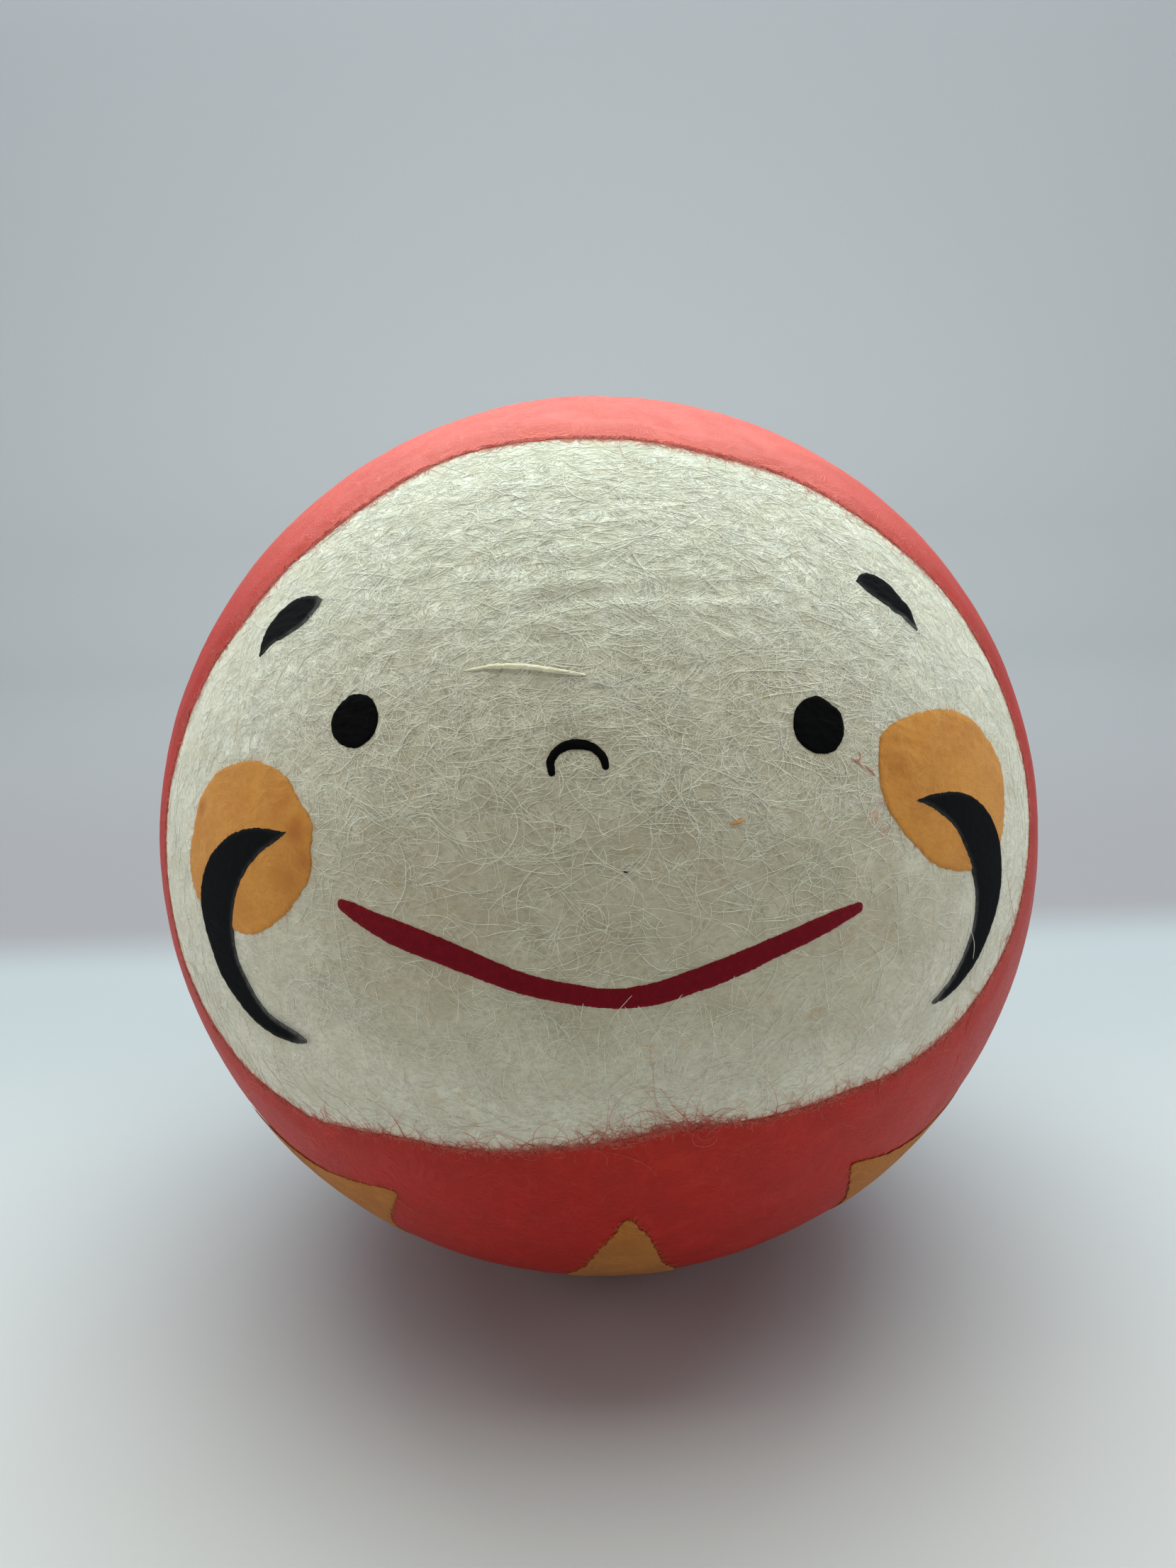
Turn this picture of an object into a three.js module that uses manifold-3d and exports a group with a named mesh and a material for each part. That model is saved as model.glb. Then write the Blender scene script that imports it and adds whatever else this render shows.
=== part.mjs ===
// A daruma doll: a papier-mache tumbler ball covered in torn washi.
//
// Frame: +Z up, the face looks along -Y, origin at the middle of the flat foot.
// Everything is laid on concentric spheres about CENTRE, in this order from the
// inside: clay weight, papier-mache halves, joint tape, cream face paper, red
// washi gores, painted and pasted face pieces, yellow washi triangles.
// Directions are given as [latitude, longitude] in degrees: latitude up from
// the equator, longitude 0 at the face and positive towards +X.

import * as THREE from 'three';
import { mergeVertices } from 'three/addons/utils/BufferGeometryUtils.js';
import Module from 'manifold-3d';

// ---------------------------------------------------------------- dimensions

const BODY_RADIUS = 47.0;        // outside of the red washi
const CENTRE_HEIGHT = 44.9;      // middle of the ball above the table

const SHELL_OUTER = 45.9;        // papier-mache, about 1.5 mm thick
const SHELL_INNER = 44.4;
const SHELL_FLOOR = -44.2;       // the halves are trimmed flat here, from the middle of the ball
const JOINT_GAP = 0.3;           // between the two halves

const TAPE_INNER = 46.07;
const TAPE_OUTER = 46.2;
const TAPE_WIDTH = 8.0;
const TAPE_END = -38.0;          // the strip stops short of the foot

const CLAY_RADIUS = 44.05;
const CLAY_TOP = -34.0;
const CLAY_BOTTOM = -43.9;

const FOOT_RADIUS = 13.0;
const FOOT_THICKNESS = 0.5;

const FACE_INNER = 46.34;
const FACE_OUTER = 46.58;
const FACE_TUCK = 1.05;          // the cream paper runs this much wider than the opening in the red

const RED_INNER = 46.74;
const RED_FLOOR = -44.7;         // trimmed just above the table
const RED_GAP = 0.3;             // between neighbouring gores
const RED_FIRST_SEAM = 2;        // longitude of the seam under the mouth
const RED_SEAM_STEP = 45;

const FACETS = 36;               // round each of the concentric balls
const TAPE_FACETS = 48;

const MARK_INNER = 46.7;         // paint and pasted discs on the cream
const MARK_OUTER = 46.9;
const WHISKER_INNER = 46.98;     // brushed over the discs
const WHISKER_OUTER = 47.16;
const YELLOW_INNER = 47.1;       // pasted over the red
const YELLOW_OUTER = 47.32;

// ---------------------------------------------------------------- outlines

// Edge of the red around the face.
const FACE_OPENING = [
  [65.2, 0], [64.6, 12], [62.9, 21], [60.6, 28.5], [57.6, 38], [54.4, 45],
  [50, 50.5], [44.5, 55.5], [38, 60.5], [30.5, 63.5], [22, 65.5], [13, 66],
  [5, 64], [-0.5, 60], [-5.1, 55.7], [-9, 50], [-11.5, 45.4], [-13.4, 39.4],
  [-14.6, 33.4], [-15, 27.5], [-15.9, 17.9], [-15.5, 8], [-16.6, 2.2],
  [-17.4, -3], [-18.4, -10], [-18.8, -17], [-18.5, -24], [-19, -30],
  [-19.6, -37], [-18.2, -43.4], [-16, -50.6], [-11.5, -57], [-4.5, -62],
  [4, -65], [13, -65.5], [22, -63.5], [29, -61.3], [35, -58], [41.8, -55.1],
  [47.5, -50.5], [53.5, -44.6], [58.8, -38], [62.5, -30], [64.5, -19], [65.3, -9],
];

// Round dots and discs.
const EYE_LEFT = { at: [26.0, -27.6], rx: 2.45, ry: 2.2, tilt: 20 };
const EYE_RIGHT = { at: [24.35, 24.85], rx: 2.55, ry: 2.25, tilt: 35 };

const CHEEK_LEFT = [
  [12.9, -30.85], [10.5, -30.65], [8, -32.1], [5.2, -34.7], [2.5, -39.5],
  [2.6, -45], [3.6, -50.5], [6.2, -53.1], [9.1, -53.4], [11.9, -52.8],
  [15.2, -52], [18.7, -48.3], [20.6, -41.9], [19.7, -36.2], [17.4, -33.1], [15.3, -31],
];
const CHEEK_RIGHT = [
  [12.8, 54.4], [10, 53.2], [6.5, 50], [6, 44.4], [7.8, 38.2], [10.6, 34.9],
  [12.8, 33], [14.9, 31.8], [17.1, 31.2], [19.6, 31.5], [22.6, 33.3],
  [23.7, 38.1], [23.6, 44], [21.8, 49.9], [18.6, 53.2], [15.6, 54.8],
];

// Brush strokes: [latitude, longitude, width in mm] along the middle.
const WHISKER_LEFT = [
  [14.1, -34.4, 0.4], [13.65, -35.5, 0.84], [12.5, -39, 2.5], [10.5, -42.3, 4.0],
  [7.9, -44.8, 5.25], [5.1, -46.3, 6.1], [2.4, -46.5, 5.7], [0, -46, 4.8],
  [-2.3, -45.15, 4.4], [-4.3, -43.5, 3.7], [-6.2, -41.5, 2.9], [-7.6, -38.7, 2.1],
  [-8.2, -35.2, 1.4], [-8.3, -33.4, 0.4],
];
const WHISKER_RIGHT = [
  [15.1, 36, 0.4], [14.6, 38.6, 1.4], [12.8, 42.8, 3.4], [10, 45.8, 5.2],
  [6.9, 47.5, 5.8], [4, 48, 5.4], [1.4, 47.5, 4.6], [-1.1, 46.3, 3.6],
  [-3.5, 44.6, 2.9], [-5.7, 42, 1.9], [-6.8, 39.6, 1.1], [-7.2, 38, 0.4],
];
const BROW_LEFT = [
  [32.2, -47.6, 0.3], [33.9, -47.5, 1.5], [35.05, -47.05, 2.4], [36, -46, 3.2],
  [36.8, -44.7, 3.5], [37.5, -43.2, 3.1], [38.25, -41.8, 2.1], [39.1, -40.2, 0.4],
];
const BROW_RIGHT = [
  [39.3, 39.6, 0.4], [38.7, 42.1, 2.3], [38, 43.5, 2.55], [37.1, 44.3, 2.5],
  [36.1, 45.05, 2.2], [35.2, 45.8, 1.7], [34.05, 46.1, 1.2], [32.7, 46.4, 0.4],
];
const NOSE = [
  [21.6, -4.4, 0.4], [22.4, -4.6, 0.54], [23.1, -4.3, 0.56], [23.7, -3.7, 0.6],
  [24.1, -2.8, 0.66], [24.2, -1.9, 0.7], [24.1, -1, 0.64], [23.8, -0.2, 0.55],
  [23.3, 0.45, 0.54], [22.7, 0.8, 0.54], [22.1, 0.95, 0.4],
];
const MOUTH = [
  [7.7, -26.6, 0.35], [7.3, -25.2, 1.0], [6.5, -23, 1.6], [5.5, -19.9, 2.2],
  [4.2, -15.5, 2.15], [2.7, -11.3, 1.95], [1.3, -7.3, 1.75], [0.4, -3.3, 1.7],
  [-0.2, 0.6, 1.65], [0, 4.6, 1.85], [1, 8.7, 1.95], [2.15, 12.8, 1.95],
  [3.5, 17.2, 1.75], [4.55, 21, 1.6], [5.4, 24.2, 1.15], [5.9, 26.6, 0.4],
];

// Triangles of yellow washi round the lower body, point up and point down in turn.
const YELLOW_COUNT = 8;
const YELLOW_STEP = 360 / YELLOW_COUNT;
const YELLOW_FIRST = 2.1;
const YELLOW_UP = [            // offsets of longitude, point up
  [-29.7, 0], [-31.8, 1.6], [-35.8, 3.6], [-44.2, 6.2], [-52.5, 10.5],
  [-53.6, 0], [-52.0, -10.2], [-44, -6.3], [-38, -3.9], [-33.2, -1.7],
];
const YELLOW_DOWN = [          // flat top, point down
  [-27.6, -15.2], [-28.6, -11], [-29.6, -5], [-30, 2], [-29.4, 9], [-28.6, 15.3],
  [-35.6, 10.6], [-43.5, 5.4], [-51.5, 0], [-43.5, -5.2], [-35.8, -10.6],
];

// ---------------------------------------------------------------- helpers

const wasm = await Module();
wasm.setup();
const RAD = Math.PI / 180;

function direction([lat, lon]) {
  const a = lat * RAD, b = lon * RAD;
  return new THREE.Vector3(Math.cos(a) * Math.sin(b), -Math.cos(a) * Math.cos(b), Math.sin(a));
}

function toSolid(geometry, place = new THREE.Matrix4()) {
  const g = geometry.clone();
  g.deleteAttribute('normal');
  g.deleteAttribute('uv');
  const m = mergeVertices(g, 1e-4);
  m.applyMatrix4(place);
  return new wasm.Manifold(new wasm.Mesh({
    numProp: 3,
    vertProperties: new Float32Array(m.attributes.position.array),
    triVerts: new Uint32Array(m.index.array),
  }));
}

function toGeometry(solid) {
  const mesh = solid.getMesh();
  const g = new THREE.BufferGeometry();
  g.setAttribute('position', new THREE.BufferAttribute(new Float32Array(mesh.vertProperties), mesh.numProp));
  g.setIndex(new THREE.BufferAttribute(new Uint32Array(mesh.triVerts), 1));
  g.computeVertexNormals();
  return g;
}

const UPRIGHT = new THREE.Matrix4().makeRotationX(Math.PI / 2);

function ball(radius) {
  return toSolid(new THREE.SphereGeometry(radius, FACETS, FACETS / 2), UPRIGHT);
}

function slab(inner, outer) {
  return ball(outer).subtract(ball(inner));
}

function block(x0, y0, z0, x1, y1, z1) {
  return toSolid(new THREE.BoxGeometry(x1 - x0, y1 - y0, z1 - z0),
    new THREE.Matrix4().makeTranslation((x0 + x1) / 2, (y0 + y1) / 2, (z0 + z1) / 2));
}

// Axes of the plane that touches the sphere at a direction.
function tangent(pole) {
  const east = new THREE.Vector3(-pole.y, pole.x, 0).normalize();
  const north = new THREE.Vector3().crossVectors(pole, east);
  return { east, north };
}

// A pyramid with its (cut off) tip at the middle of the ball, standing through
// the outline. `near` and `far` are the distances of its two ends.
function pyramid(directions, pole, near, far) {
  const { east, north } = tangent(pole);
  const flat = directions.map((d) => {
    const k = 1 / d.dot(pole);
    return new THREE.Vector2(d.dot(east) * k, d.dot(north) * k);
  });
  if (THREE.ShapeUtils.isClockWise(flat)) {
    flat.reverse();
    directions = [...directions].reverse();
  }
  const faces = THREE.ShapeUtils.triangulateShape(flat, []);
  const n = directions.length;
  const position = [];
  for (const r of [near, far]) {
    for (const d of directions) {
      const k = r / d.dot(pole);
      position.push(d.x * k, d.y * k, d.z * k);
    }
  }
  const index = [];
  for (const [a, b, c] of faces) {
    index.push(c, b, a, a + n, b + n, c + n);
  }
  for (let i = 0; i < n; i++) {
    const j = (i + 1) % n;
    index.push(i, j, j + n, i, j + n, i + n);
  }
  const g = new THREE.BufferGeometry();
  g.setAttribute('position', new THREE.Float32BufferAttribute(position, 3));
  g.setIndex(index);
  return toSolid(g);
}

function middle(directions) {
  const m = new THREE.Vector3();
  directions.forEach((d) => m.add(d));
  return m.normalize();
}

// A small thin piece lying on the ball: a lid and a floor on two spheres over
// the same outline, with a mesh of inner points so that it follows the curve.
function patch(directions, inner, outer, step) {
  const pole = middle(directions);
  const near = inner * 0.7, far = outer * 1.6;
  const cutter = pyramid(directions, pole, near, far);
  // a curved tile in the same place, gridded in the tangent plane
  const { east, north } = tangent(pole);
  let reach = 0;
  for (const d of directions) {
    const k = 1 / d.dot(pole);
    reach = Math.max(reach, Math.abs(d.dot(east) * k), Math.abs(d.dot(north) * k));
  }
  reach *= 1.15;
  const n = Math.max(2, Math.ceil((2 * reach * outer) / step));
  const at = (i, j, r) => {
    const v = pole.clone().addScaledVector(east, reach * (2 * i / n - 1)).addScaledVector(north, reach * (2 * j / n - 1));
    return v.normalize().multiplyScalar(r);
  };
  const position = [], index = [];
  const id = (i, j, k) => (k * (n + 1) + j) * (n + 1) + i;
  for (const r of [inner, outer]) {
    for (let j = 0; j <= n; j++) for (let i = 0; i <= n; i++) position.push(...at(i, j, r).toArray());
  }
  for (let j = 0; j < n; j++) {
    for (let i = 0; i < n; i++) {
      const q = [id(i, j, 0), id(i + 1, j, 0), id(i + 1, j + 1, 0), id(i, j + 1, 0)];
      index.push(q[2], q[1], q[0], q[3], q[2], q[0]);
      const t = [id(i, j, 1), id(i + 1, j, 1), id(i + 1, j + 1, 1), id(i, j + 1, 1)];
      index.push(t[0], t[1], t[2], t[0], t[2], t[3]);
    }
  }
  const rim = [];
  for (let i = 0; i < n; i++) rim.push([i, 0]);
  for (let j = 0; j < n; j++) rim.push([n, j]);
  for (let i = n; i > 0; i--) rim.push([i, n]);
  for (let j = n; j > 0; j--) rim.push([0, j]);
  rim.forEach(([i, j], k) => {
    const [p, q] = rim[(k + 1) % rim.length];
    index.push(id(i, j, 0), id(p, q, 0), id(p, q, 1), id(i, j, 0), id(p, q, 1), id(i, j, 1));
  });
  const g = new THREE.BufferGeometry();
  g.setAttribute('position', new THREE.Float32BufferAttribute(position, 3));
  g.setIndex(index);
  return toSolid(g).intersect(cutter);
}

// Outline of a brush stroke from its middle line and widths.
function stroke(points) {
  const dirs = points.map(direction);
  const left = [], right = [];
  dirs.forEach((d, i) => {
    const along = dirs[Math.min(i + 1, dirs.length - 1)].clone().sub(dirs[Math.max(i - 1, 0)]);
    const across = new THREE.Vector3().crossVectors(d, along).normalize();
    const half = points[i][2] / 2 / BODY_RADIUS;
    left.push(d.clone().addScaledVector(across, half).normalize());
    right.unshift(d.clone().addScaledVector(across, -half).normalize());
  });
  return [...left, ...right];
}

function oval({ at, rx, ry, tilt }, corners = 14) {
  const pole = direction(at);
  const { east, north } = tangent(pole);
  const out = [];
  for (let i = 0; i < corners; i++) {
    const a = (i / corners) * 2 * Math.PI, t = tilt * RAD;
    const x = rx * Math.cos(a), y = ry * Math.sin(a);
    out.push(pole.clone()
      .addScaledVector(east, (x * Math.cos(t) - y * Math.sin(t)) / BODY_RADIUS)
      .addScaledVector(north, (x * Math.sin(t) + y * Math.cos(t)) / BODY_RADIUS).normalize());
  }
  return out;
}

// The face outline, spread about the middle of the face by a factor.
const FACE_POLE = direction([24, 0]);
function faceOutline(spread) {
  return FACE_OPENING.map((p) => {
    const d = direction(p);
    const angle = Math.acos(d.dot(FACE_POLE)) * spread;
    const side = d.clone().addScaledVector(FACE_POLE, -d.dot(FACE_POLE)).normalize();
    return FACE_POLE.clone().multiplyScalar(Math.cos(angle)).addScaledVector(side, Math.sin(angle));
  });
}

// An upright wedge between two longitudes, held back from each by half a gap.
function wedge(lon0, lon1, gap) {
  const far = 120, tall = 100;
  const corner = (lon, side) => {
    const along = new THREE.Vector2(Math.sin(lon * RAD), -Math.cos(lon * RAD));
    const across = new THREE.Vector2(-along.y, along.x).multiplyScalar((side * gap) / 2);
    return { along, across };
  };
  const a = corner(lon0, 1), b = corner(lon1, -1);
  const half = ((lon1 - lon0) / 2) * RAD;
  const middleAlong = new THREE.Vector2(Math.sin((lon0 + lon1) / 2 * RAD), -Math.cos((lon0 + lon1) / 2 * RAD));
  const apex = middleAlong.clone().multiplyScalar(gap / 2 / Math.sin(half));
  const shape = new THREE.Shape([
    apex,
    a.along.clone().multiplyScalar(far).add(a.across),
    middleAlong.clone().multiplyScalar(far * 1.3),
    b.along.clone().multiplyScalar(far).add(b.across),
  ]);
  return toSolid(new THREE.ExtrudeGeometry(shape, { depth: 2 * tall, bevelEnabled: false }),
    new THREE.Matrix4().makeTranslation(0, 0, -tall));
}

// ---------------------------------------------------------------- materials

const paint = (color, roughness) => new THREE.MeshStandardMaterial({ color, roughness, metalness: 0 });
const MOULD = paint(0xb9a98a, 0.9);
const TAPE = paint(0xe6dcc6, 0.9);
const CLAY = paint(0x9a6a4c, 0.95);
const CARD = paint(0xc9b48c, 0.9);
const CREAM = paint(0xd9d3bd, 0.9);
const RED = paint(0xb22a22, 0.85);
const BLACK = paint(0x141310, 0.7);
const CRIMSON = paint(0x5e0c12, 0.7);
const ORANGE = paint(0xd08a45, 0.9);
const OCHRE = paint(0xb98a3c, 0.9);

// ---------------------------------------------------------------- the doll

const doll = new THREE.Group();
const body = new THREE.Group();
body.position.set(0, 0, CENTRE_HEIGHT);
doll.add(body);

function piece(name, solid, material) {
  const mesh = new THREE.Mesh(toGeometry(solid), material);
  mesh.name = name;
  body.add(mesh);
}

// Papier-mache halves, open at the foot where they are trimmed.
const shell = slab(SHELL_INNER, SHELL_OUTER)
  .subtract(block(-60, -60, -60, 60, 60, SHELL_FLOOR));
piece('shell_front', shell.intersect(block(-60, -60, -60, 60, -JOINT_GAP / 2, 60)), MOULD);
piece('shell_back', shell.intersect(block(-60, JOINT_GAP / 2, -60, 60, 60, 60)), MOULD);

// Strip of paper over the joint, round the two sides and the crown.
const tapeProfile = [];
for (const h of [-TAPE_WIDTH / 2, 0, TAPE_WIDTH / 2]) tapeProfile.push(new THREE.Vector2(Math.sqrt(TAPE_OUTER ** 2 - h * h), h));
for (const h of [TAPE_WIDTH / 2, 0, -TAPE_WIDTH / 2]) tapeProfile.push(new THREE.Vector2(Math.sqrt(TAPE_INNER ** 2 - h * h), h));
tapeProfile.push(tapeProfile[0].clone());
piece('seam_tape', toSolid(new THREE.LatheGeometry(tapeProfile, TAPE_FACETS))
  .intersect(block(-60, -60, TAPE_END, 60, 60, 60)), TAPE);

// Clay in the bottom.
piece('clay_weight', ball(CLAY_RADIUS)
  .intersect(block(-60, -60, CLAY_BOTTOM, 60, 60, CLAY_TOP)), CLAY);

// Card foot.
piece('base_disc', toSolid(new THREE.CylinderGeometry(FOOT_RADIUS, FOOT_RADIUS, FOOT_THICKNESS, 32),
  new THREE.Matrix4().makeTranslation(0, 0, -CENTRE_HEIGHT + FOOT_THICKNESS / 2).multiply(UPRIGHT)), CARD);

// Cream paper under the face, tucked below the red all round.
const facePaper = slab(FACE_INNER, FACE_OUTER)
  .intersect(pyramid(faceOutline(FACE_TUCK), FACE_POLE, 10, 60));
piece('face_paper', facePaper, CREAM);

// Red washi gores with the face cut out of them.
const redSkin = slab(RED_INNER, BODY_RADIUS)
  .subtract(block(-60, -60, -60, 60, 60, RED_FLOOR));
const redWithFace = redSkin.subtract(pyramid(faceOutline(1), FACE_POLE, 10, 60));
const seam = (i) => RED_FIRST_SEAM + RED_SEAM_STEP * i;
const below = block(-60, -60, -60, 60, 60, 0);
const above = block(-60, -60, 0, 60, 60, 60);
const right = redWithFace.intersect(wedge(seam(0), seam(1), RED_GAP));
const left = redWithFace.intersect(wedge(seam(-1), seam(0), RED_GAP));
piece('red_front_low_right', right.intersect(below), RED);
piece('red_front_low_left', left.intersect(below), RED);
piece('red_crown_right', right.intersect(above), RED);
piece('red_crown_left', left.intersect(above), RED);
piece('red_side_right', redWithFace.intersect(wedge(seam(1), seam(2), RED_GAP)), RED);
piece('red_side_left', redWithFace.intersect(wedge(seam(-2), seam(-1), RED_GAP)), RED);
for (let i = 0; i < 4; i++) {
  piece(`red_back_${i + 1}`, redWithFace.intersect(wedge(seam(2 + i), seam(3 + i), RED_GAP)), RED);
}

// Face.
piece('eye_left', patch(oval(EYE_LEFT), MARK_INNER, MARK_OUTER, 4), BLACK);
piece('eye_right', patch(oval(EYE_RIGHT), MARK_INNER, MARK_OUTER, 4), BLACK);
piece('nose', patch(stroke(NOSE), MARK_INNER, MARK_OUTER, 3), BLACK);
piece('mouth', patch(stroke(MOUTH), MARK_INNER, MARK_OUTER, 5), CRIMSON);
piece('cheek_left', patch(CHEEK_LEFT.map(direction), MARK_INNER, MARK_OUTER - 0.02, 4), ORANGE);
piece('cheek_right', patch(CHEEK_RIGHT.map(direction), MARK_INNER, MARK_OUTER - 0.02, 4), ORANGE);
piece('brow_left', patch(stroke(BROW_LEFT), MARK_INNER, MARK_OUTER, 3), BLACK);
piece('brow_right', patch(stroke(BROW_RIGHT), MARK_INNER, MARK_OUTER, 3), BLACK);
piece('whisker_left', patch(stroke(WHISKER_LEFT), WHISKER_INNER, WHISKER_OUTER, 4), BLACK);
piece('whisker_right', patch(stroke(WHISKER_RIGHT), WHISKER_INNER, WHISKER_OUTER, 4), BLACK);

// Yellow washi triangles.
for (let i = 0; i < YELLOW_COUNT; i++) {
  const outline = (i % 2 ? YELLOW_DOWN : YELLOW_UP)
    .map(([lat, lon]) => direction([lat, lon + YELLOW_FIRST + YELLOW_STEP * i]));
  piece(`yellow_${i + 1}`, patch(outline, YELLOW_INNER, YELLOW_OUTER, 5), OCHRE);
}

export default doll;
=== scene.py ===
import math

import bpy
import numpy as np
from mathutils import Matrix, Vector


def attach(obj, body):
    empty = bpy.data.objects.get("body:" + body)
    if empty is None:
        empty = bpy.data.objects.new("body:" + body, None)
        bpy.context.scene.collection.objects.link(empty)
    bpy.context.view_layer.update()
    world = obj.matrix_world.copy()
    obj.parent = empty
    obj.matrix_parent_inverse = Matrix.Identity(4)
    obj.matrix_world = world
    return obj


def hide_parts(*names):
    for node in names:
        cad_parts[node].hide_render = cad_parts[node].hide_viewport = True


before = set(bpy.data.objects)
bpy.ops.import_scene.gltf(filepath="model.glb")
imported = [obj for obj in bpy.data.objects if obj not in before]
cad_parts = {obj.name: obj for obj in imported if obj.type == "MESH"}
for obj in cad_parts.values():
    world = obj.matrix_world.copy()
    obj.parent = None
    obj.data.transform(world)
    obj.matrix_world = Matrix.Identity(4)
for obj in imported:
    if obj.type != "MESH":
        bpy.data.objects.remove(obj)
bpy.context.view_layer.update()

# Lengths are in millimetres about the middle of the ball until a mesh is made.
MM = 0.001
CENTRE_Z = 44.9
R_FACE = 46.46          # top of the cream paper
R_RED = 46.80           # top of the lower red gores
R_RED_OVER = 46.87      # top of the gores that lap over them
RAD = math.pi / 180


# ------------------------------------------------------------------ camera

PITCH, ROLL, YAW = 13.9 * RAD, -1.85 * RAD, 0.3857 * RAD
cam_data = bpy.data.cameras.new("camera")
cam = bpy.data.objects.new("camera", cam_data)
bpy.context.scene.collection.objects.link(cam)
cam_data.sensor_width = 36
cam_data.sensor_fit = "AUTO"
cam_data.lens = 28.64
cam_data.clip_start, cam_data.clip_end = 0.005, 20
_fwd = Vector((-math.sin(YAW) * math.cos(PITCH), math.cos(YAW) * math.cos(PITCH), -math.sin(PITCH)))
_right = Vector((math.cos(YAW), math.sin(YAW), 0))
_up = Vector((-math.sin(YAW) * math.sin(PITCH), math.cos(YAW) * math.sin(PITCH), math.cos(PITCH)))
_cr, _sr = math.cos(ROLL), math.sin(ROLL)
_x = _right * _cr + _up * _sr
_y = _up * _cr - _right * _sr
cam.matrix_world = Matrix((
    (_x.x, _y.x, -_fwd.x, 0.0),
    (_x.y, _y.y, -_fwd.y, -0.13574),
    (_x.z, _y.z, -_fwd.z, 0.08390),
    (0, 0, 0, 1)))
bpy.context.scene.camera = cam


# ------------------------------------------------------------------ noise

class Noise:
    """Seeded gradient noise in three dimensions, about -1 to 1."""

    def __init__(self, seed):
        rng = np.random.default_rng(seed)
        self.p = np.tile(rng.permutation(256), 3)
        g = rng.normal(size=(256, 3))
        self.g = g / np.linalg.norm(g, axis=1, keepdims=True)

    def __call__(self, q):
        q = np.asarray(q, float)
        i = np.floor(q).astype(np.int64)
        f = q - i
        i &= 255
        u = f * f * f * (f * (f * 6 - 15) + 10)
        out = np.zeros(len(q))
        for dx in (0, 1):
            wx = u[:, 0] if dx else 1 - u[:, 0]
            for dy in (0, 1):
                wy = u[:, 1] if dy else 1 - u[:, 1]
                for dz in (0, 1):
                    wz = u[:, 2] if dz else 1 - u[:, 2]
                    h = self.p[self.p[self.p[i[:, 0] + dx] + i[:, 1] + dy] + i[:, 2] + dz]
                    g = self.g[h]
                    out += wx * wy * wz * (g[:, 0] * (f[:, 0] - dx) + g[:, 1] * (f[:, 1] - dy) + g[:, 2] * (f[:, 2] - dz))
        return out * 1.7


N1, N2, N3, N4, N5 = (Noise(s) for s in (11, 23, 37, 51, 77))


def fbm(n, q, octaves=3, gain=0.5):
    out, a, k = 0.0, 1.0, 1.0
    for _ in range(octaves):
        out = out + a * n(q * k)
        a, k = a * gain, k * 2.07
    return out


def smooth(a, b, x):
    t = np.clip((x - a) / (b - a), 0, 1)
    return t * t * (3 - 2 * t)


# ------------------------------------------------------------------ directions

def direction(lat, lon):
    a, b = np.radians(lat), np.radians(lon)
    return np.stack([np.cos(a) * np.sin(b), -np.cos(a) * np.cos(b), np.sin(a) + 0 * b], -1)


def latlon(q):
    return np.degrees(np.arcsin(np.clip(q[:, 2], -1, 1))), np.degrees(np.arctan2(q[:, 0], -q[:, 1]))


def axes_at(pole):
    east = np.array([-pole[1], pole[0], 0.0])
    east /= np.linalg.norm(east)
    return east, np.cross(pole, east)


def to_plane(q, pole):
    """Directions to millimetres east and north of a pole, keeping distance from it."""
    east, north = axes_at(pole)
    c = np.clip(q @ pole, -1, 1)
    t = np.arccos(c)
    s = np.sqrt(np.maximum(1 - c * c, 1e-12))
    k = np.where(s > 1e-6, t / s, 1.0) * 47.0
    return np.stack([(q @ east) * k, (q @ north) * k], -1)


def from_plane(xy, pole):
    east, north = axes_at(pole)
    r = np.hypot(xy[:, 0], xy[:, 1])
    t = r / 47.0
    k = np.where(r > 1e-9, np.sin(t) / np.maximum(r, 1e-9), 1 / 47.0)
    return np.cos(t)[:, None] * pole + (xy[:, 0] * k)[:, None] * east + (xy[:, 1] * k)[:, None] * north


def spline(points, n, closed=True):
    """A smooth curve through points (Catmull-Rom), n samples between neighbours."""
    p = np.asarray(points, float)
    m = len(p)
    out = []
    for i in range(m if closed else m - 1):
        if closed:
            a, b, c, d = p[(i - 1) % m], p[i], p[(i + 1) % m], p[(i + 2) % m]
        else:
            a, b, c, d = p[max(i - 1, 0)], p[i], p[i + 1], p[min(i + 2, m - 1)]
        t = np.linspace(0, 1, n, endpoint=False)[:, None]
        out.append(0.5 * (2 * b + (c - a) * t + (2 * a - 5 * b + 4 * c - d) * t ** 2 + (3 * b - a - 3 * c + d) * t ** 3))
    out = np.concatenate(out)
    return out if closed else np.concatenate([out, p[-1:]])


def inside_distance(xy, poly):
    """Signed distance to a closed outline, positive inside."""
    a = poly
    b = np.roll(poly, -1, 0)
    best = np.full(len(xy), 1e9)
    wind = np.zeros(len(xy), bool)
    for i in range(len(a)):
        e = b[i] - a[i]
        w = xy - a[i]
        t = np.clip((w @ e) / max(e @ e, 1e-12), 0, 1)
        d = np.hypot(w[:, 0] - t * e[0], w[:, 1] - t * e[1])
        best = np.minimum(best, d)
        cond = (a[i, 1] > xy[:, 1]) != (b[i, 1] > xy[:, 1])
        if abs(e[1]) > 1e-12:
            xs = a[i, 0] + (xy[:, 1] - a[i, 1]) / e[1] * e[0]
            wind ^= cond & (xy[:, 0] < xs)
    return np.where(wind, best, -best)


# ------------------------------------------------------------------ face opening

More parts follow.
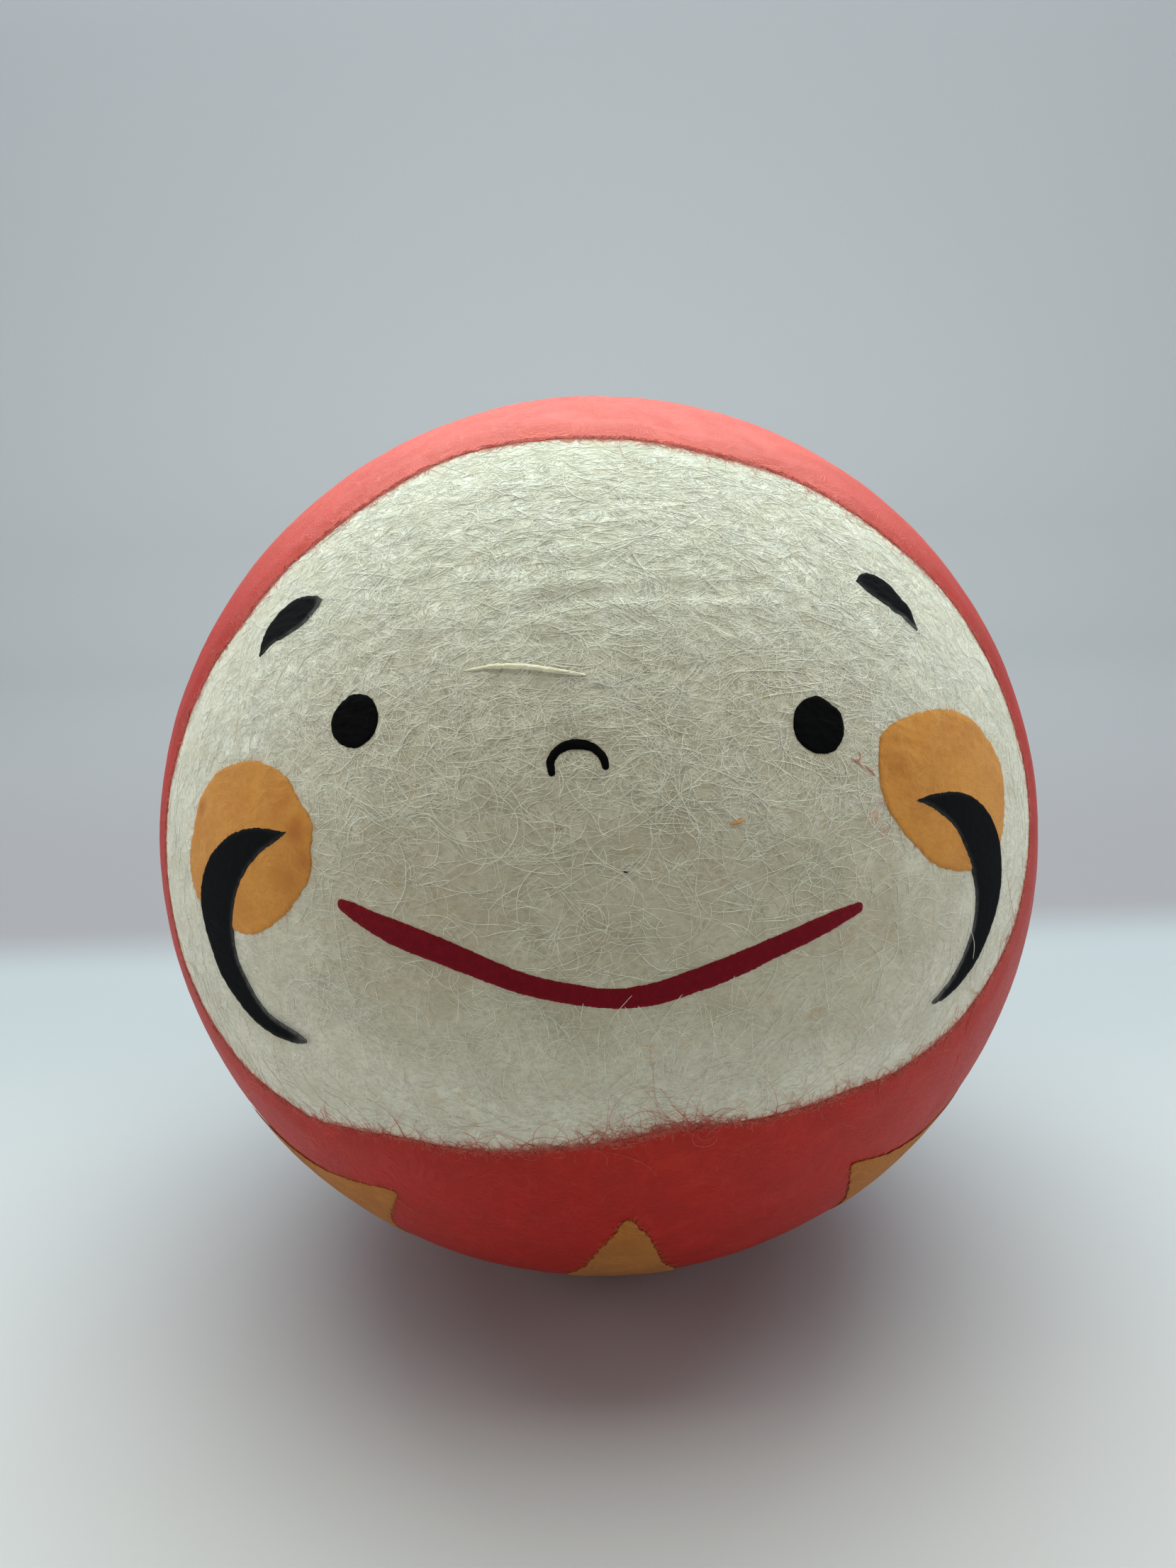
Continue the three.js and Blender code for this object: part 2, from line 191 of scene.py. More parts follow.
FACE_POLE = direction(24.0, 0.0)
FACE_OPENING = [
    (65.2, 0), (64.6, 12), (62.9, 21), (60.6, 28.5), (57.6, 38), (54.4, 45),
    (50, 50.5), (44.5, 55.5), (38, 60.5), (30.5, 63.5), (22, 65.5), (13, 66),
    (5, 64), (-0.5, 60), (-5.1, 55.7), (-9, 50), (-11.5, 45.4), (-13.4, 39.4),
    (-14.6, 33.4), (-15, 27.5), (-15.9, 17.9), (-15.5, 8), (-16.6, 2.2),
    (-17.4, -3), (-18.4, -10), (-18.8, -17), (-18.5, -24), (-19, -30),
    (-19.6, -37), (-18.2, -43.4), (-16, -50.6), (-11.5, -57), (-4.5, -62),
    (4, -65), (13, -65.5), (22, -63.5), (29, -61.3), (35, -58), (41.8, -55.1),
    (47.5, -50.5), (53.5, -44.6), (58.8, -38), (62.5, -30), (64.5, -19), (65.3, -9),
]
_o = spline(to_plane(direction(*np.array(FACE_OPENING, float).T), FACE_POLE), 10)
_ang, _rad = np.arctan2(_o[:, 1], _o[:, 0]), np.hypot(_o[:, 0], _o[:, 1])
_k = np.argsort(_ang)
_ang, _rad = _ang[_k], _rad[_k]
_ang3 = np.concatenate([_ang - 2 * np.pi, _ang, _ang + 2 * np.pi])
_rad3 = np.tile(_rad, 3)


def opening_radius(phi):
    """Distance of the red's edge from the middle of the face, towards phi."""
    return np.interp(phi, _ang3, _rad3)


def outside_opening(q):
    """Millimetres outside the opening, along the way from the middle of the face."""
    xy = to_plane(q, FACE_POLE)
    r = np.hypot(xy[:, 0], xy[:, 1])
    return r - opening_radius(np.arctan2(xy[:, 1], xy[:, 0]))


# ------------------------------------------------------------------ surface

def unevenness(q):
    """The moulded body is not quite a ball; every layer on it follows this."""
    return 0.10 * N1(q * 2.6) + 0.05 * N2(q * 6.5)


PLEAT = spline([(31.62, -14.6), (32.0, -11.2), (31.93, -7.6), (31.5, -4.2), (30.95, -0.7)], 14, False)
PLEAT_XY = to_plane(direction(PLEAT[:, 0], PLEAT[:, 1]), FACE_POLE)


def path_distance(xy, path):
    best = np.full(len(xy), 1e9)
    for a, b in zip(path[:-1], path[1:]):
        e = b - a
        w = xy - a
        t = np.clip((w @ e) / max(e @ e, 1e-12), 0, 1)
        best = np.minimum(best, np.hypot(w[:, 0] - t * e[0], w[:, 1] - t * e[1]))
    return best


def fibrousness(q):
    """How loose and hairy the cream paper is: most on the forehead."""
    lat, lon = latlon(q)
    top = smooth(6, 30, lat) * (1 - smooth(52, 66, lat))
    side = 1 - 0.75 * smooth(34, 58, np.abs(lon))
    return np.clip(0.30 + 0.75 * top * side + 0.18 * N3(q * 5), 0.08, 1)


CREASES = [
    (spline([(37.1, -11.5), (38.6, -6), (39.4, -2.9), (39.9, 6), (39.66, 15.2), (40.1, 22.9)], 8, False), 0.10, 0.9),
    (spline([(34.4, -21), (35.5, -15), (35.0, -9), (34.6, -3)], 8, False), 0.08, 0.8),
    (spline([(36.5, 3), (37.2, 9), (36.2, 15), (36.6, 20)], 8, False), 0.07, 0.8),
    (spline([(43.0, -16), (43.8, -9), (42.9, -2), (43.5, 7)], 8, False), 0.07, 1.0),
    (spline([(12.6, 20.0), (12.0, 21.5), (10.6, 22.6)], 8, False), 0.06, 0.5),
]
CREASES_XY = [(to_plane(direction(c[:, 0], c[:, 1]), FACE_POLE), h, w) for c, h, w in CREASES]


def face_relief(q):
    xy = to_plane(q, FACE_POLE)
    f = fibrousness(q)
    p3 = np.column_stack([xy[:, 0] * 0.33 + xy[:, 1] * 0.10, xy[:, 1] * 0.58, 0 * xy[:, 0]])
    wr = (0.5 - np.abs(fbm(N4, p3, 3))) * 0.16
    p4 = np.column_stack([xy[:, 0] * 0.9, xy[:, 1] * 1.3, 7 + 0 * xy[:, 0]])
    out = f * f * wr + (0.012 + 0.022 * f) * N5(p4) + 0.03 * N2(q * 14)
    near = np.abs(xy[:, 0]) < 26
    idx = np.nonzero(near & (xy[:, 1] > -16) & (xy[:, 1] < 20))[0]
    if len(idx):
        for path, h, w in CREASES_XY:
            d = path_distance(xy[idx], path)
            out[idx] -= h * np.exp(-(d / w) ** 2) - 0.5 * h * np.exp(-((d - 1.6 * w) / w) ** 2)
        d = path_distance(xy[idx], PLEAT_XY)
        out[idx] += 0.10 * np.exp(-(d / 1.1) ** 2)
    return out


def face_r(q):
    return R_FACE + unevenness(q) + face_relief(q)


def red_relief(q):
    lat, lon = latlon(q)
    p = np.column_stack([lon * 0.11, lat * 0.045, 0 * lat])
    pull = (0.5 - np.abs(fbm(N4, p * 1.9 + 31, 2))) * 0.07 * smooth(35, 75, np.abs(lat))
    return pull + 0.018 * N3(q * 26) + 0.012 * N5(q * 55)


# ------------------------------------------------------------------ meshes

def grid(u0, u1, v0, v1, step):
    nu, nv = max(2, int(math.ceil((u1 - u0) / step))), max(2, int(math.ceil((v1 - v0) / step)))
    u, v = np.meshgrid(np.linspace(u0, u1, nu + 1), np.linspace(v0, v1, nv + 1))
    xy = np.column_stack([u.ravel(), v.ravel()])
    i = np.arange(nu)[None, :] + (nu + 1) * np.arange(nv)[:, None]
    a, b, c, d = i.ravel(), i.ravel() + 1, i.ravel() + nu + 2, i.ravel() + nu + 1
    odd = ((np.arange(nu)[None, :] + np.arange(nv)[:, None]) % 2).ravel().astype(bool)
    t1 = np.where(odd[:, None], np.column_stack([a, b, c]), np.column_stack([a, b, d]))
    t2 = np.where(odd[:, None], np.column_stack([a, c, d]), np.column_stack([b, c, d]))
    return xy, np.concatenate([t1, t2])


def clip(data, tris, f):
    """Cuts a triangle mesh along f = 0 and keeps f > 0. data is (n, k), interpolated."""
    f = np.where(np.abs(f) < 1e-6, 1e-6, f)
    ins = f > 0
    c = ins[tris].sum(1)
    keep = tris[c == 3]
    mixed = tris[(c == 1) | (c == 2)]
    if len(mixed):
        m_in = ins[mixed]
        lone_in = m_in.sum(1) == 1
        lone = np.where(lone_in, m_in.argmax(1), (~m_in).argmax(1))
        rows = np.arange(len(mixed))
        a = mixed[rows, lone]
        b = mixed[rows, (lone + 1) % 3]
        d = mixed[rows, (lone + 2) % 3]
        edges = np.concatenate([np.column_stack([a, b]), np.column_stack([a, d])])
        key = np.sort(edges, 1)
        uniq, inv = np.unique(key, axis=0, return_inverse=True)
        inv = inv.ravel()
        t = f[uniq[:, 0]] / (f[uniq[:, 0]] - f[uniq[:, 1]])
        t = np.clip(t, 0.02, 0.98)
        new = data[uniq[:, 0]] * (1 - t[:, None]) + data[uniq[:, 1]] * t[:, None]
        base = len(data)
        ab, ad = base + inv[:len(mixed)], base + inv[len(mixed):]
        one = np.column_stack([a, ab, ad])[lone_in]
        q = ~lone_in
        two = np.concatenate([np.column_stack([ab, b, d])[q], np.column_stack([ab, d, ad])[q]])
        data = np.concatenate([data, new])
        tris = np.concatenate([keep, one, two])
    else:
        tris = keep
    used, inv = np.unique(tris, return_inverse=True)
    return data[used], inv.reshape(tris.shape)


def biggest(data, tris, least=40):
    """Drops loose crumbs left by a cut."""
    n = len(data)
    label = np.arange(n)
    for _ in range(400):
        m = label[tris].min(1)
        new = label.copy()
        for k in range(3):
            np.minimum.at(new, tris[:, k], m)
        new = new[new]
        if (new == label).all():
            break
        label = new
    lab = label[tris[:, 0]]
    vals, counts = np.unique(lab, return_counts=True)
    ok = vals[counts >= least]
    tris = tris[np.isin(lab, ok)]
    used, inv = np.unique(tris, return_inverse=True)
    return data[used], inv.reshape(tris.shape)


def rim(tris):
    """Boundary edges, in the order of their triangles."""
    e = np.concatenate([tris[:, [0, 1]], tris[:, [1, 2]], tris[:, [2, 0]]])
    key = np.sort(e, 1)
    _, first, count = np.unique(key, axis=0, return_index=True, return_counts=True)
    return e[first[count == 1]]


def new_mesh(name, verts, tris, uv=None, smooth_faces=True, attrs=None):
    me = bpy.data.meshes.new(name)
    verts = np.asarray(verts, np.float32) * MM
    verts[:, 2] += CENTRE_Z * MM
    tris = np.asarray(tris, np.int32)
    me.vertices.add(len(verts))
    me.vertices.foreach_set("co", verts.ravel())
    me.loops.add(len(tris) * 3)
    me.loops.foreach_set("vertex_index", tris.ravel())
    me.polygons.add(len(tris))
    me.polygons.foreach_set("loop_start", np.arange(0, len(tris) * 3, 3, dtype=np.int32))
    me.polygons.foreach_set("use_smooth", np.full(len(tris), smooth_faces))
    if uv is not None:
        layer = me.uv_layers.new(name="paper")
        layer.data.foreach_set("uv", np.asarray(uv, np.float32)[tris.ravel()].ravel())
    for key, val in (attrs or {}).items():
        at = me.attributes.new(key, "FLOAT", "POINT")
        at.data.foreach_set("value", np.asarray(val, np.float32))
    me.update(calc_edges=True)
    me.validate()
    ob = bpy.data.objects.new(name, me)
    bpy.context.scene.collection.objects.link(ob)
    return ob


def sheet_solid(name, q, tris, top, thick, uv, attrs=None):
    """A thin closed sheet: its top follows `top`, its underside lies `thick` below."""
    n = len(q)
    thick = np.broadcast_to(thick, (n,))
    a, b, c = (q[tris[:, k]] for k in range(3))
    facing = (np.cross(b - a, c - a) * a).sum(1)
    tris = np.where((facing < 0)[:, None], tris[:, [0, 2, 1]], tris)
    e = rim(tris)
    verts = np.concatenate([q * top[:, None], q * (top - thick)[:, None]])
    side = np.concatenate([
        np.column_stack([e[:, 0], e[:, 0] + n, e[:, 1]]),
        np.column_stack([e[:, 1], e[:, 0] + n, e[:, 1] + n])])
    faces = np.concatenate([tris, tris[:, ::-1] + n, side])
    attrs = {k: np.concatenate([v, v]) for k, v in (attrs or {}).items()}
    return new_mesh(name, verts, faces, np.concatenate([uv, uv]), True, attrs)


def tubes(name, paths, normals, radii, sides=3, attrs=None):
    """Many hairs at once. paths (n, m, 3), normals (n, m, 3), radii (n, m)."""
    n, m, _ = paths.shape
    tan = np.gradient(paths, axis=1)
    tan /= np.linalg.norm(tan, axis=2, keepdims=True) + 1e-12
    side = np.cross(normals, tan)
    side /= np.linalg.norm(side, axis=2, keepdims=True) + 1e-12
    up = np.cross(tan, side)
    ang = np.arange(sides) / sides * 2 * np.pi + 0.5
    ring = (paths[:, :, None] + radii[:, :, None, None] * (
        np.cos(ang)[None, None, :, None] * side[:, :, None] + np.sin(ang)[None, None, :, None] * up[:, :, None]))
    verts = ring.reshape(-1, 3)
    base = (np.arange(n)[:, None] * m + np.arange(m - 1)[None]).reshape(-1, 1) * sides
    k = np.arange(sides)[None]
    k2 = (k + 1) % sides
    a, b, c, d = base + k, base + k2, base + sides + k2, base + sides + k
    faces = [np.stack([a, b, c], -1).reshape(-1, 3), np.stack([a, c, d], -1).reshape(-1, 3)]
    start = np.arange(n)[:, None] * m * sides
    for j in range(1, sides - 1):
        faces.append(np.concatenate([start, start + j + 1, start + j], 1))
        end = start + (m - 1) * sides
        faces.append(np.concatenate([end, end + j, end + j + 1], 1))
    attrs = {key: np.repeat(v.reshape(-1), sides) for key, v in (attrs or {}).items()}
    return new_mesh(name, verts, np.concatenate(faces), None, True, attrs)


def trace(q, heading, length, points, curl, wander, rng):
    """Walks hairs over the ball from q. heading is an angle from east, in radians."""
    n = len(q)
    east = np.column_stack([-q[:, 1], q[:, 0], np.zeros(n)])
    east /= np.linalg.norm(east, axis=1, keepdims=True) + 1e-12
    north = np.cross(q, east)
    t = np.cos(heading)[:, None] * east + np.sin(heading)[:, None] * north
    step = length / (points - 1) / 47.0
    out = [q]
    for _ in range(points - 1):
        q2 = q * np.cos(step)[:, None] + t * np.sin(step)[:, None]
        t = t * np.cos(step)[:, None] - q * np.sin(step)[:, None]
        q = q2 / np.linalg.norm(q2, axis=1, keepdims=True)
        turn = (curl + rng.normal(size=n) * wander) / (points - 1)
        s = np.cross(q, t)
        t = t * np.cos(turn)[:, None] + s * np.sin(turn)[:, None]
        t -= (t * q).sum(1, keepdims=True) * q
        t /= np.linalg.norm(t, axis=1, keepdims=True)
        out.append(q)
    return np.stack(out, 1)


# ------------------------------------------------------------------ materials

def link(nt, a, b):
    nt.links.new(a, b)


def math_node(nt, op, a, b=None, c=None, clamp=False):
    n = nt.nodes.new("ShaderNodeMath")
    n.operation = op
    n.use_clamp = clamp
    for i, v in enumerate((a, b, c)):
        if v is None:
            continue
        if isinstance(v, (int, float)):
            n.inputs[i].default_value = v
        else:
            link(nt, v, n.inputs[i])
    return n.outputs[0]


def ramp(nt, v, lo, hi, to_lo=0.0, to_hi=1.0):
    n = nt.nodes.new("ShaderNodeMapRange")
    n.interpolation_type = "SMOOTHSTEP"
    link(nt, v, n.inputs["Value"])
    n.inputs["From Min"].default_value = lo
    n.inputs["From Max"].default_value = hi
    n.inputs["To Min"].default_value = to_lo
    n.inputs["To Max"].default_value = to_hi
    return n.outputs["Result"]


def mix(nt, f, a, b, kind="MIX"):
    n = nt.nodes.new("ShaderNodeMix")
    n.data_type = "RGBA"
    n.blend_type = kind
    if isinstance(f, (int, float)):
        n.inputs[0].default_value = f
    else:
        link(nt, f, n.inputs[0])
    for i, v in ((6, a), (7, b)):
        if isinstance(v, (tuple, list)):
            n.inputs[i].default_value = (*v, 1)
        else:
            link(nt, v, n.inputs[i])
    return n.outputs[2]


def noise_node(nt, vec, scale, detail=2.0, rough=0.5, dims="3D"):
    n = nt.nodes.new("ShaderNodeTexNoise")
    n.noise_dimensions = dims
    n.inputs["Scale"].default_value = scale
    n.inputs["Detail"].default_value = detail
    n.inputs["Roughness"].default_value = rough
    if vec is not None:
        link(nt, vec, n.inputs["Vector"])
    return n.outputs["Fac"]


def mapped(nt, vec, loc=(0, 0, 0), rot=(0, 0, 0), scale=(1, 1, 1)):
    n = nt.nodes.new("ShaderNodeMapping")
    n.inputs["Location"].default_value = loc
    n.inputs["Rotation"].default_value = rot
    n.inputs["Scale"].default_value = scale
    link(nt, vec, n.inputs["Vector"])
    return n.outputs["Vector"]


def attribute(nt, name):
    n = nt.nodes.new("ShaderNodeAttribute")
    n.attribute_name = name
    return n.outputs["Fac"]


def start_material(name):
    m = bpy.data.materials.new(name)
    m.use_nodes = True
    nt = m.node_tree
    b = nt.nodes["Principled BSDF"]
    return m, nt, b


FIBRE_ANGLES = (-6, 14, -24, 36, 63, -58, 96)


def hairs(nt, uv, width, along, across, angles, seed=0.0):
    """A web of long thin lines: 0 between hairs, 1 on them."""
    warp = nt.nodes.new("ShaderNodeTexNoise")
    warp.noise_dimensions = "2D"
    warp.inputs["Scale"].default_value = 0.16
    warp.inputs["Detail"].default_value = 1.5
    link(nt, mapped(nt, uv, loc=(seed, seed * 1.7, 0)), warp.inputs["Vector"])
    off = nt.nodes.new("ShaderNodeVectorMath")
    off.operation = "MULTIPLY_ADD"
    link(nt, warp.outputs["Color"], off.inputs[0])
    off.inputs[1].default_value = (7, 7, 0)
    link(nt, uv, off.inputs[2])
    total = None
    for j, deg in enumerate(angles):
        turned = mapped(nt, off.outputs[0], rot=(0, 0, -deg * RAD))
        v = mapped(nt, turned, loc=(13.1 * j + seed, 7.7 * j, 0), scale=(along * (1 + 0.13 * (j % 3)), across * (1 + 0.21 * ((j * 2) % 3)), 1))
        n = noise_node(nt, v, 1.0, 1.0, 0.5, "2D")
        d = math_node(nt, "ABSOLUTE", math_node(nt, "SUBTRACT", n, 0.5))
        line = ramp(nt, d, 0.0, width, 1.0, 0.0)
        total = line if total is None else math_node(nt, "MAXIMUM", total, line)
    return total


def washi(name, base, deep, hair, *, mottle=0.5, hair_mix=0.5, width=0.05, along=0.09, across=1.9, bump=0.5,
          rough=0.86, sheen=0.15, fine=0.35, tint=(1, 1, 1), extra=None, weight=None, angles=FIBRE_ANGLES, seed=0.0, spec=0.3):
    m, nt, b = start_material(name)
    uv = nt.nodes.new("ShaderNodeUVMap")
    uv.uv_map = "paper"
    uv = uv.outputs["UV"]
    cloud = noise_node(nt, mapped(nt, uv, loc=(seed, 3, 0)), 0.17, 4.0, 0.6, "2D")
    grain = noise_node(nt, mapped(nt, uv, loc=(seed, 9, 0), scale=(0.55, 1, 1)), 2.3, 4.0, 0.65, "2D")
    col = mix(nt, math_node(nt, "MULTIPLY", ramp(nt, cloud, 0.35, 0.68), mottle), base, deep)
    col = mix(nt, math_node(nt, "MULTIPLY", ramp(nt, grain, 0.38, 0.70), fine), col, deep)
    web = hairs(nt, uv, width, along, across, angles, seed)
    patchy = ramp(nt, noise_node(nt, mapped(nt, uv, loc=(5, seed, 0)), 0.35, 2.0, 0.5, "2D"), 0.3, 0.7, 0.35, 1.0)
    amount = math_node(nt, "MULTIPLY", web, patchy)
    if weight:
        amount = math_node(nt, "MULTIPLY", amount, attribute(nt, weight))
    col = mix(nt, math_node(nt, "MULTIPLY", amount, hair_mix), col, hair)
    if extra:
        col = extra(nt, uv, col)
    link(nt, col, b.inputs["Base Color"])
    link(nt, math_node(nt, "ADD", math_node(nt, "MULTIPLY", grain, 0.12), rough - 0.06), b.inputs["Roughness"])
    b.inputs["Specular IOR Level"].default_value = spec
    b.inputs["Specular Tint"].default_value = (*tint, 1)
    b.inputs["Sheen Weight"].default_value = sheen
    b.inputs["Sheen Roughness"].default_value = 0.5
    bp = nt.nodes.new("ShaderNodeBump")
    bp.inputs["Strength"].default_value = bump
    bp.inputs["Distance"].default_value = 0.00008
    h = math_node(nt, "ADD", amount, math_node(nt, "MULTIPLY", grain, 0.8))
    link(nt, h, bp.inputs["Height"])
    link(nt, bp.outputs["Normal"], b.inputs["Normal"])
    return m


def cream_extra(nt, uv, col):
    ochre = noise_node(nt, mapped(nt, uv, loc=(40, 2, 0)), 0.42, 3.0, 0.6, "2D")
    col = mix(nt, ramp(nt, ochre, 0.60, 0.78, 0.0, 0.30), col, (0.52, 0.37, 0.15))
    # painted shade: the middle of the face is made darker and warmer
    col = mix(nt, attribute(nt, "painted_centre_shade"), col, (0.72, 0.665, 0.595), "MULTIPLY")
    col = mix(nt, attribute(nt, "ink"), col, (0.035, 0.034, 0.034))
    col = mix(nt, attribute(nt, "blush"), col, (0.66, 0.15, 0.10))
    return col


def cheek_extra(nt, uv, col):
    return mix(nt, attribute(nt, "stain"), col, (0.36, 0.10, 0.015))


def red_extra(nt, uv, col):
    # painted light: the red is made brighter towards the top of the ball
    return mix(nt, attribute(nt, "painted_top_light"), col, (0.62, 0.042, 0.022))


CREAM = washi("washi_cream_paper", (0.665, 0.650, 0.540), (0.45, 0.41, 0.30), (0.95, 0.95, 0.87), mottle=0.5, hair_mix=0.9,
              width=0.055, along=0.34, across=3.0, bump=0.8, extra=cream_extra, weight="fib", fine=0.55, sheen=0.12)
RED = washi("washi_red_paper", (0.42, 0.0060, 0.0042), (0.30, 0.0040, 0.0034), (0.54, 0.034, 0.024), mottle=0.4, hair_mix=0.30,
            width=0.035, across=1.5, bump=0.5, seed=20, sheen=0.0, fine=0.3, spec=0.36, rough=0.53, tint=(1.0, 0.80, 0.62), extra=red_extra)
RED_OVER = washi("washi_red_paper_over", (0.41, 0.0058, 0.0042), (0.29, 0.0040, 0.0034), (0.53, 0.033, 0.023), mottle=0.45,
                 hair_mix=0.30, width=0.035, across=1.5, bump=0.5, seed=61, sheen=0.0, fine=0.3, spec=0.36, rough=0.53, tint=(1.0, 0.80, 0.62), extra=red_extra)
ORANGE = washi("washi_orange_paper", (0.60, 0.250, 0.038), (0.46, 0.170, 0.022), (0.72, 0.37, 0.10), mottle=0.55, hair_mix=0.3,
               width=0.04, bump=0.4, seed=33, sheen=0.08, extra=cheek_extra, spec=0.2)
OCHRE = washi("washi_ochre_paper", (0.40, 0.140, 0.018), (0.31, 0.092, 0.010), (0.52, 0.22, 0.045), mottle=0.6, hair_mix=0.45,
              width=0.045, bump=0.6, seed=47, sheen=0.06, spec=0.2)


def paint(name, body, worn, rough, gloss, seed):
    m, nt, b = start_material(name)
    uv = nt.nodes.new("ShaderNodeUVMap")
    uv.uv_map = "paper"
    uv = uv.outputs["UV"]
    g = noise_node(nt, mapped(nt, uv, loc=(seed, 0, 0)), 1.6, 4.0, 0.6, "2D")
    web = hairs(nt, uv, 0.05, 0.12, 2.2, (-8, 22, -35, 70), seed)
    thin = attribute(nt, "thin")
    col = mix(nt, math_node(nt, "MULTIPLY", ramp(nt, g, 0.4, 0.75), 0.5), body, tuple(min(1, c * 1.5 + 0.001) for c in body))
    col = mix(nt, math_node(nt, "MULTIPLY", thin, ramp(nt, g, 0.30, 0.62, 0.55, 1.0), clamp=True), col, worn)
    link(nt, col, b.inputs["Base Color"])
    link(nt, math_node(nt, "ADD", math_node(nt, "MULTIPLY", g, 0.2), rough - 0.1), b.inputs["Roughness"])
    b.inputs["Specular IOR Level"].default_value = gloss
    bp = nt.nodes.new("ShaderNodeBump")
    bp.inputs["Strength"].default_value = 0.45
    bp.inputs["Distance"].default_value = 0.00005
    link(nt, math_node(nt, "ADD", web, g), bp.inputs["Height"])
    link(nt, bp.outputs["Normal"], b.inputs["Normal"])
    return m


INK = paint("ink_black_paint", (0.0028, 0.0028, 0.0030), (0.007, 0.007, 0.007), 0.75, 0.02, 3)
BRUSH = paint("ink_brushed", (0.0045, 0.0048, 0.0058), (0.12, 0.120, 0.116), 0.75, 0.025, 8)
CRIMSON = paint("paint_crimson_film", (0.155, 0.0028, 0.0095), (0.24, 0.018, 0.024), 0.64, 0.08, 5)


def hair_material(name, root, tip, rough=0.75):
    m, nt, b = start_material(name)
    tc = nt.nodes.new("ShaderNodeTexCoord")
    n = noise_node(nt, tc.outputs["Object"], 900.0, 2.0, 0.5)
    col = mix(nt, attribute(nt, "along"), root, tip)
    col = mix(nt, ramp(nt, n, 0.35, 0.7, 0.0, 0.35), col, tuple(c * 0.7 for c in root))
    link(nt, col, b.inputs["Base Color"])
    link(nt, ramp(nt, n, 0.3, 0.7, rough - 0.08, rough + 0.08), b.inputs["Roughness"])
    b.inputs["Specular IOR Level"].default_value = 0.4
    return m


CREAM_HAIR = hair_material("washi_cream_hair", (0.90, 0.89, 0.80), (0.84, 0.82, 0.71))
RED_HAIR = hair_material("washi_red_hair", (0.56, 0.030, 0.020), (0.74, 0.30, 0.22))
OCHRE_HAIR = hair_material("washi_ochre_hair", (0.44, 0.18, 0.04), (0.52, 0.25, 0.09))
ORANGE_HAIR = hair_material("washi_orange_hair", (0.58, 0.24, 0.06), (0.64, 0.34, 0.14))


def plain(name, a, b_, scale, rough, bump, stretch=(1, 1, 1)):
    m, nt, b = start_material(name)
    tc = nt.nodes.new("ShaderNodeTexCoord")
    v = mapped(nt, tc.outputs["Object"], scale=stretch)
    n = noise_node(nt, v, scale, 6.0, 0.6)
    n2 = noise_node(nt, v, scale * 7, 3.0, 0.6)
    col = mix(nt, ramp(nt, n, 0.3, 0.7), a, b_)
    col = mix(nt, ramp(nt, n2, 0.55, 0.8, 0.0, 0.5), col, tuple(c * 0.6 for c in a))
    link(nt, col, b.inputs["Base Color"])
    link(nt, ramp(nt, n2, 0.3, 0.7, rough - 0.08, rough + 0.06), b.inputs["Roughness"])
    bp = nt.nodes.new("ShaderNodeBump")
    bp.inputs["Strength"].default_value = bump
    bp.inputs["Distance"].default_value = 0.0002
    link(nt, math_node(nt, "ADD", n, n2), bp.inputs["Height"])
    link(nt, bp.outputs["Normal"], b.inputs["Normal"])
    return m


def dress(ob, material, replaces=()):
    ob.data.materials.clear()
    ob.data.materials.append(material)
    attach(ob, "root")
    if replaces:
        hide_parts(*replaces)
    return ob


# ------------------------------------------------------------------ outlines

WHISKER_LEFT = [
    (14.1, -34.4, 0.25), (13.65, -35.5, 0.84), (12.5, -39, 2.5), (10.5, -42.3, 4.0),
    (7.9, -44.8, 5.25), (5.1, -46.3, 6.1), (2.4, -46.5, 5.7), (0, -46, 4.8),
    (-2.3, -45.15, 4.4), (-4.3, -43.5, 3.7), (-6.2, -41.5, 2.9), (-7.6, -38.7, 2.1),
    (-8.2, -35.2, 1.4), (-8.3, -33.4, 0.5)]
WHISKER_RIGHT = [
    (15.1, 36, 0.3), (14.6, 38.6, 1.4), (12.8, 42.8, 3.4), (10, 45.8, 5.2),
    (6.9, 47.5, 5.8), (4, 48, 5.4), (1.4, 47.5, 4.6), (-1.1, 46.3, 3.6),
    (-3.5, 44.6, 2.9), (-5.7, 42, 1.9), (-6.8, 39.6, 1.1), (-7.2, 38, 0.4)]
BROW_LEFT = [
    (32.0, -47.8, 0.5), (33.7, -47.6, 1.9), (35.0, -47.1, 2.9), (36, -46, 3.6),
    (36.8, -44.7, 3.8), (37.5, -43.2, 3.3), (38.25, -41.8, 2.2), (39.1, -40.2, 0.3)]
BROW_RIGHT = [
    (39.3, 39.6, 0.3), (38.7, 42.1, 2.5), (38, 43.5, 2.8), (37.1, 44.3, 2.75),
    (36.1, 45.05, 2.4), (35.2, 45.8, 1.9), (34.05, 46.1, 1.35), (32.7, 46.4, 0.35)]
NOSE = [
    (21.5, -4.45, 0.55), (22.4, -4.6, 0.66), (23.1, -4.3, 0.66), (23.7, -3.7, 0.70),
    (24.1, -2.8, 0.80), (24.2, -1.9, 0.82), (24.1, -1, 0.76), (23.8, -0.2, 0.68),
    (23.3, 0.45, 0.66), (22.7, 0.85, 0.66), (22.0, 1.0, 0.55)]
MOUTH = [
    (7.8, -26.5, 0.95), (7.3, -25.2, 1.40), (6.5, -23, 1.75), (5.5, -19.9, 2.2),
    (4.2, -15.5, 2.15), (2.7, -11.3, 1.95), (1.3, -7.3, 1.75), (0.4, -3.3, 1.7),
    (-0.2, 0.6, 1.65), (0, 4.6, 1.85), (1, 8.7, 1.95), (2.15, 12.8, 1.95),
    (3.5, 17.2, 1.75), (4.55, 21, 1.65), (5.4, 24.2, 1.35), (5.9, 26.5, 0.90)]
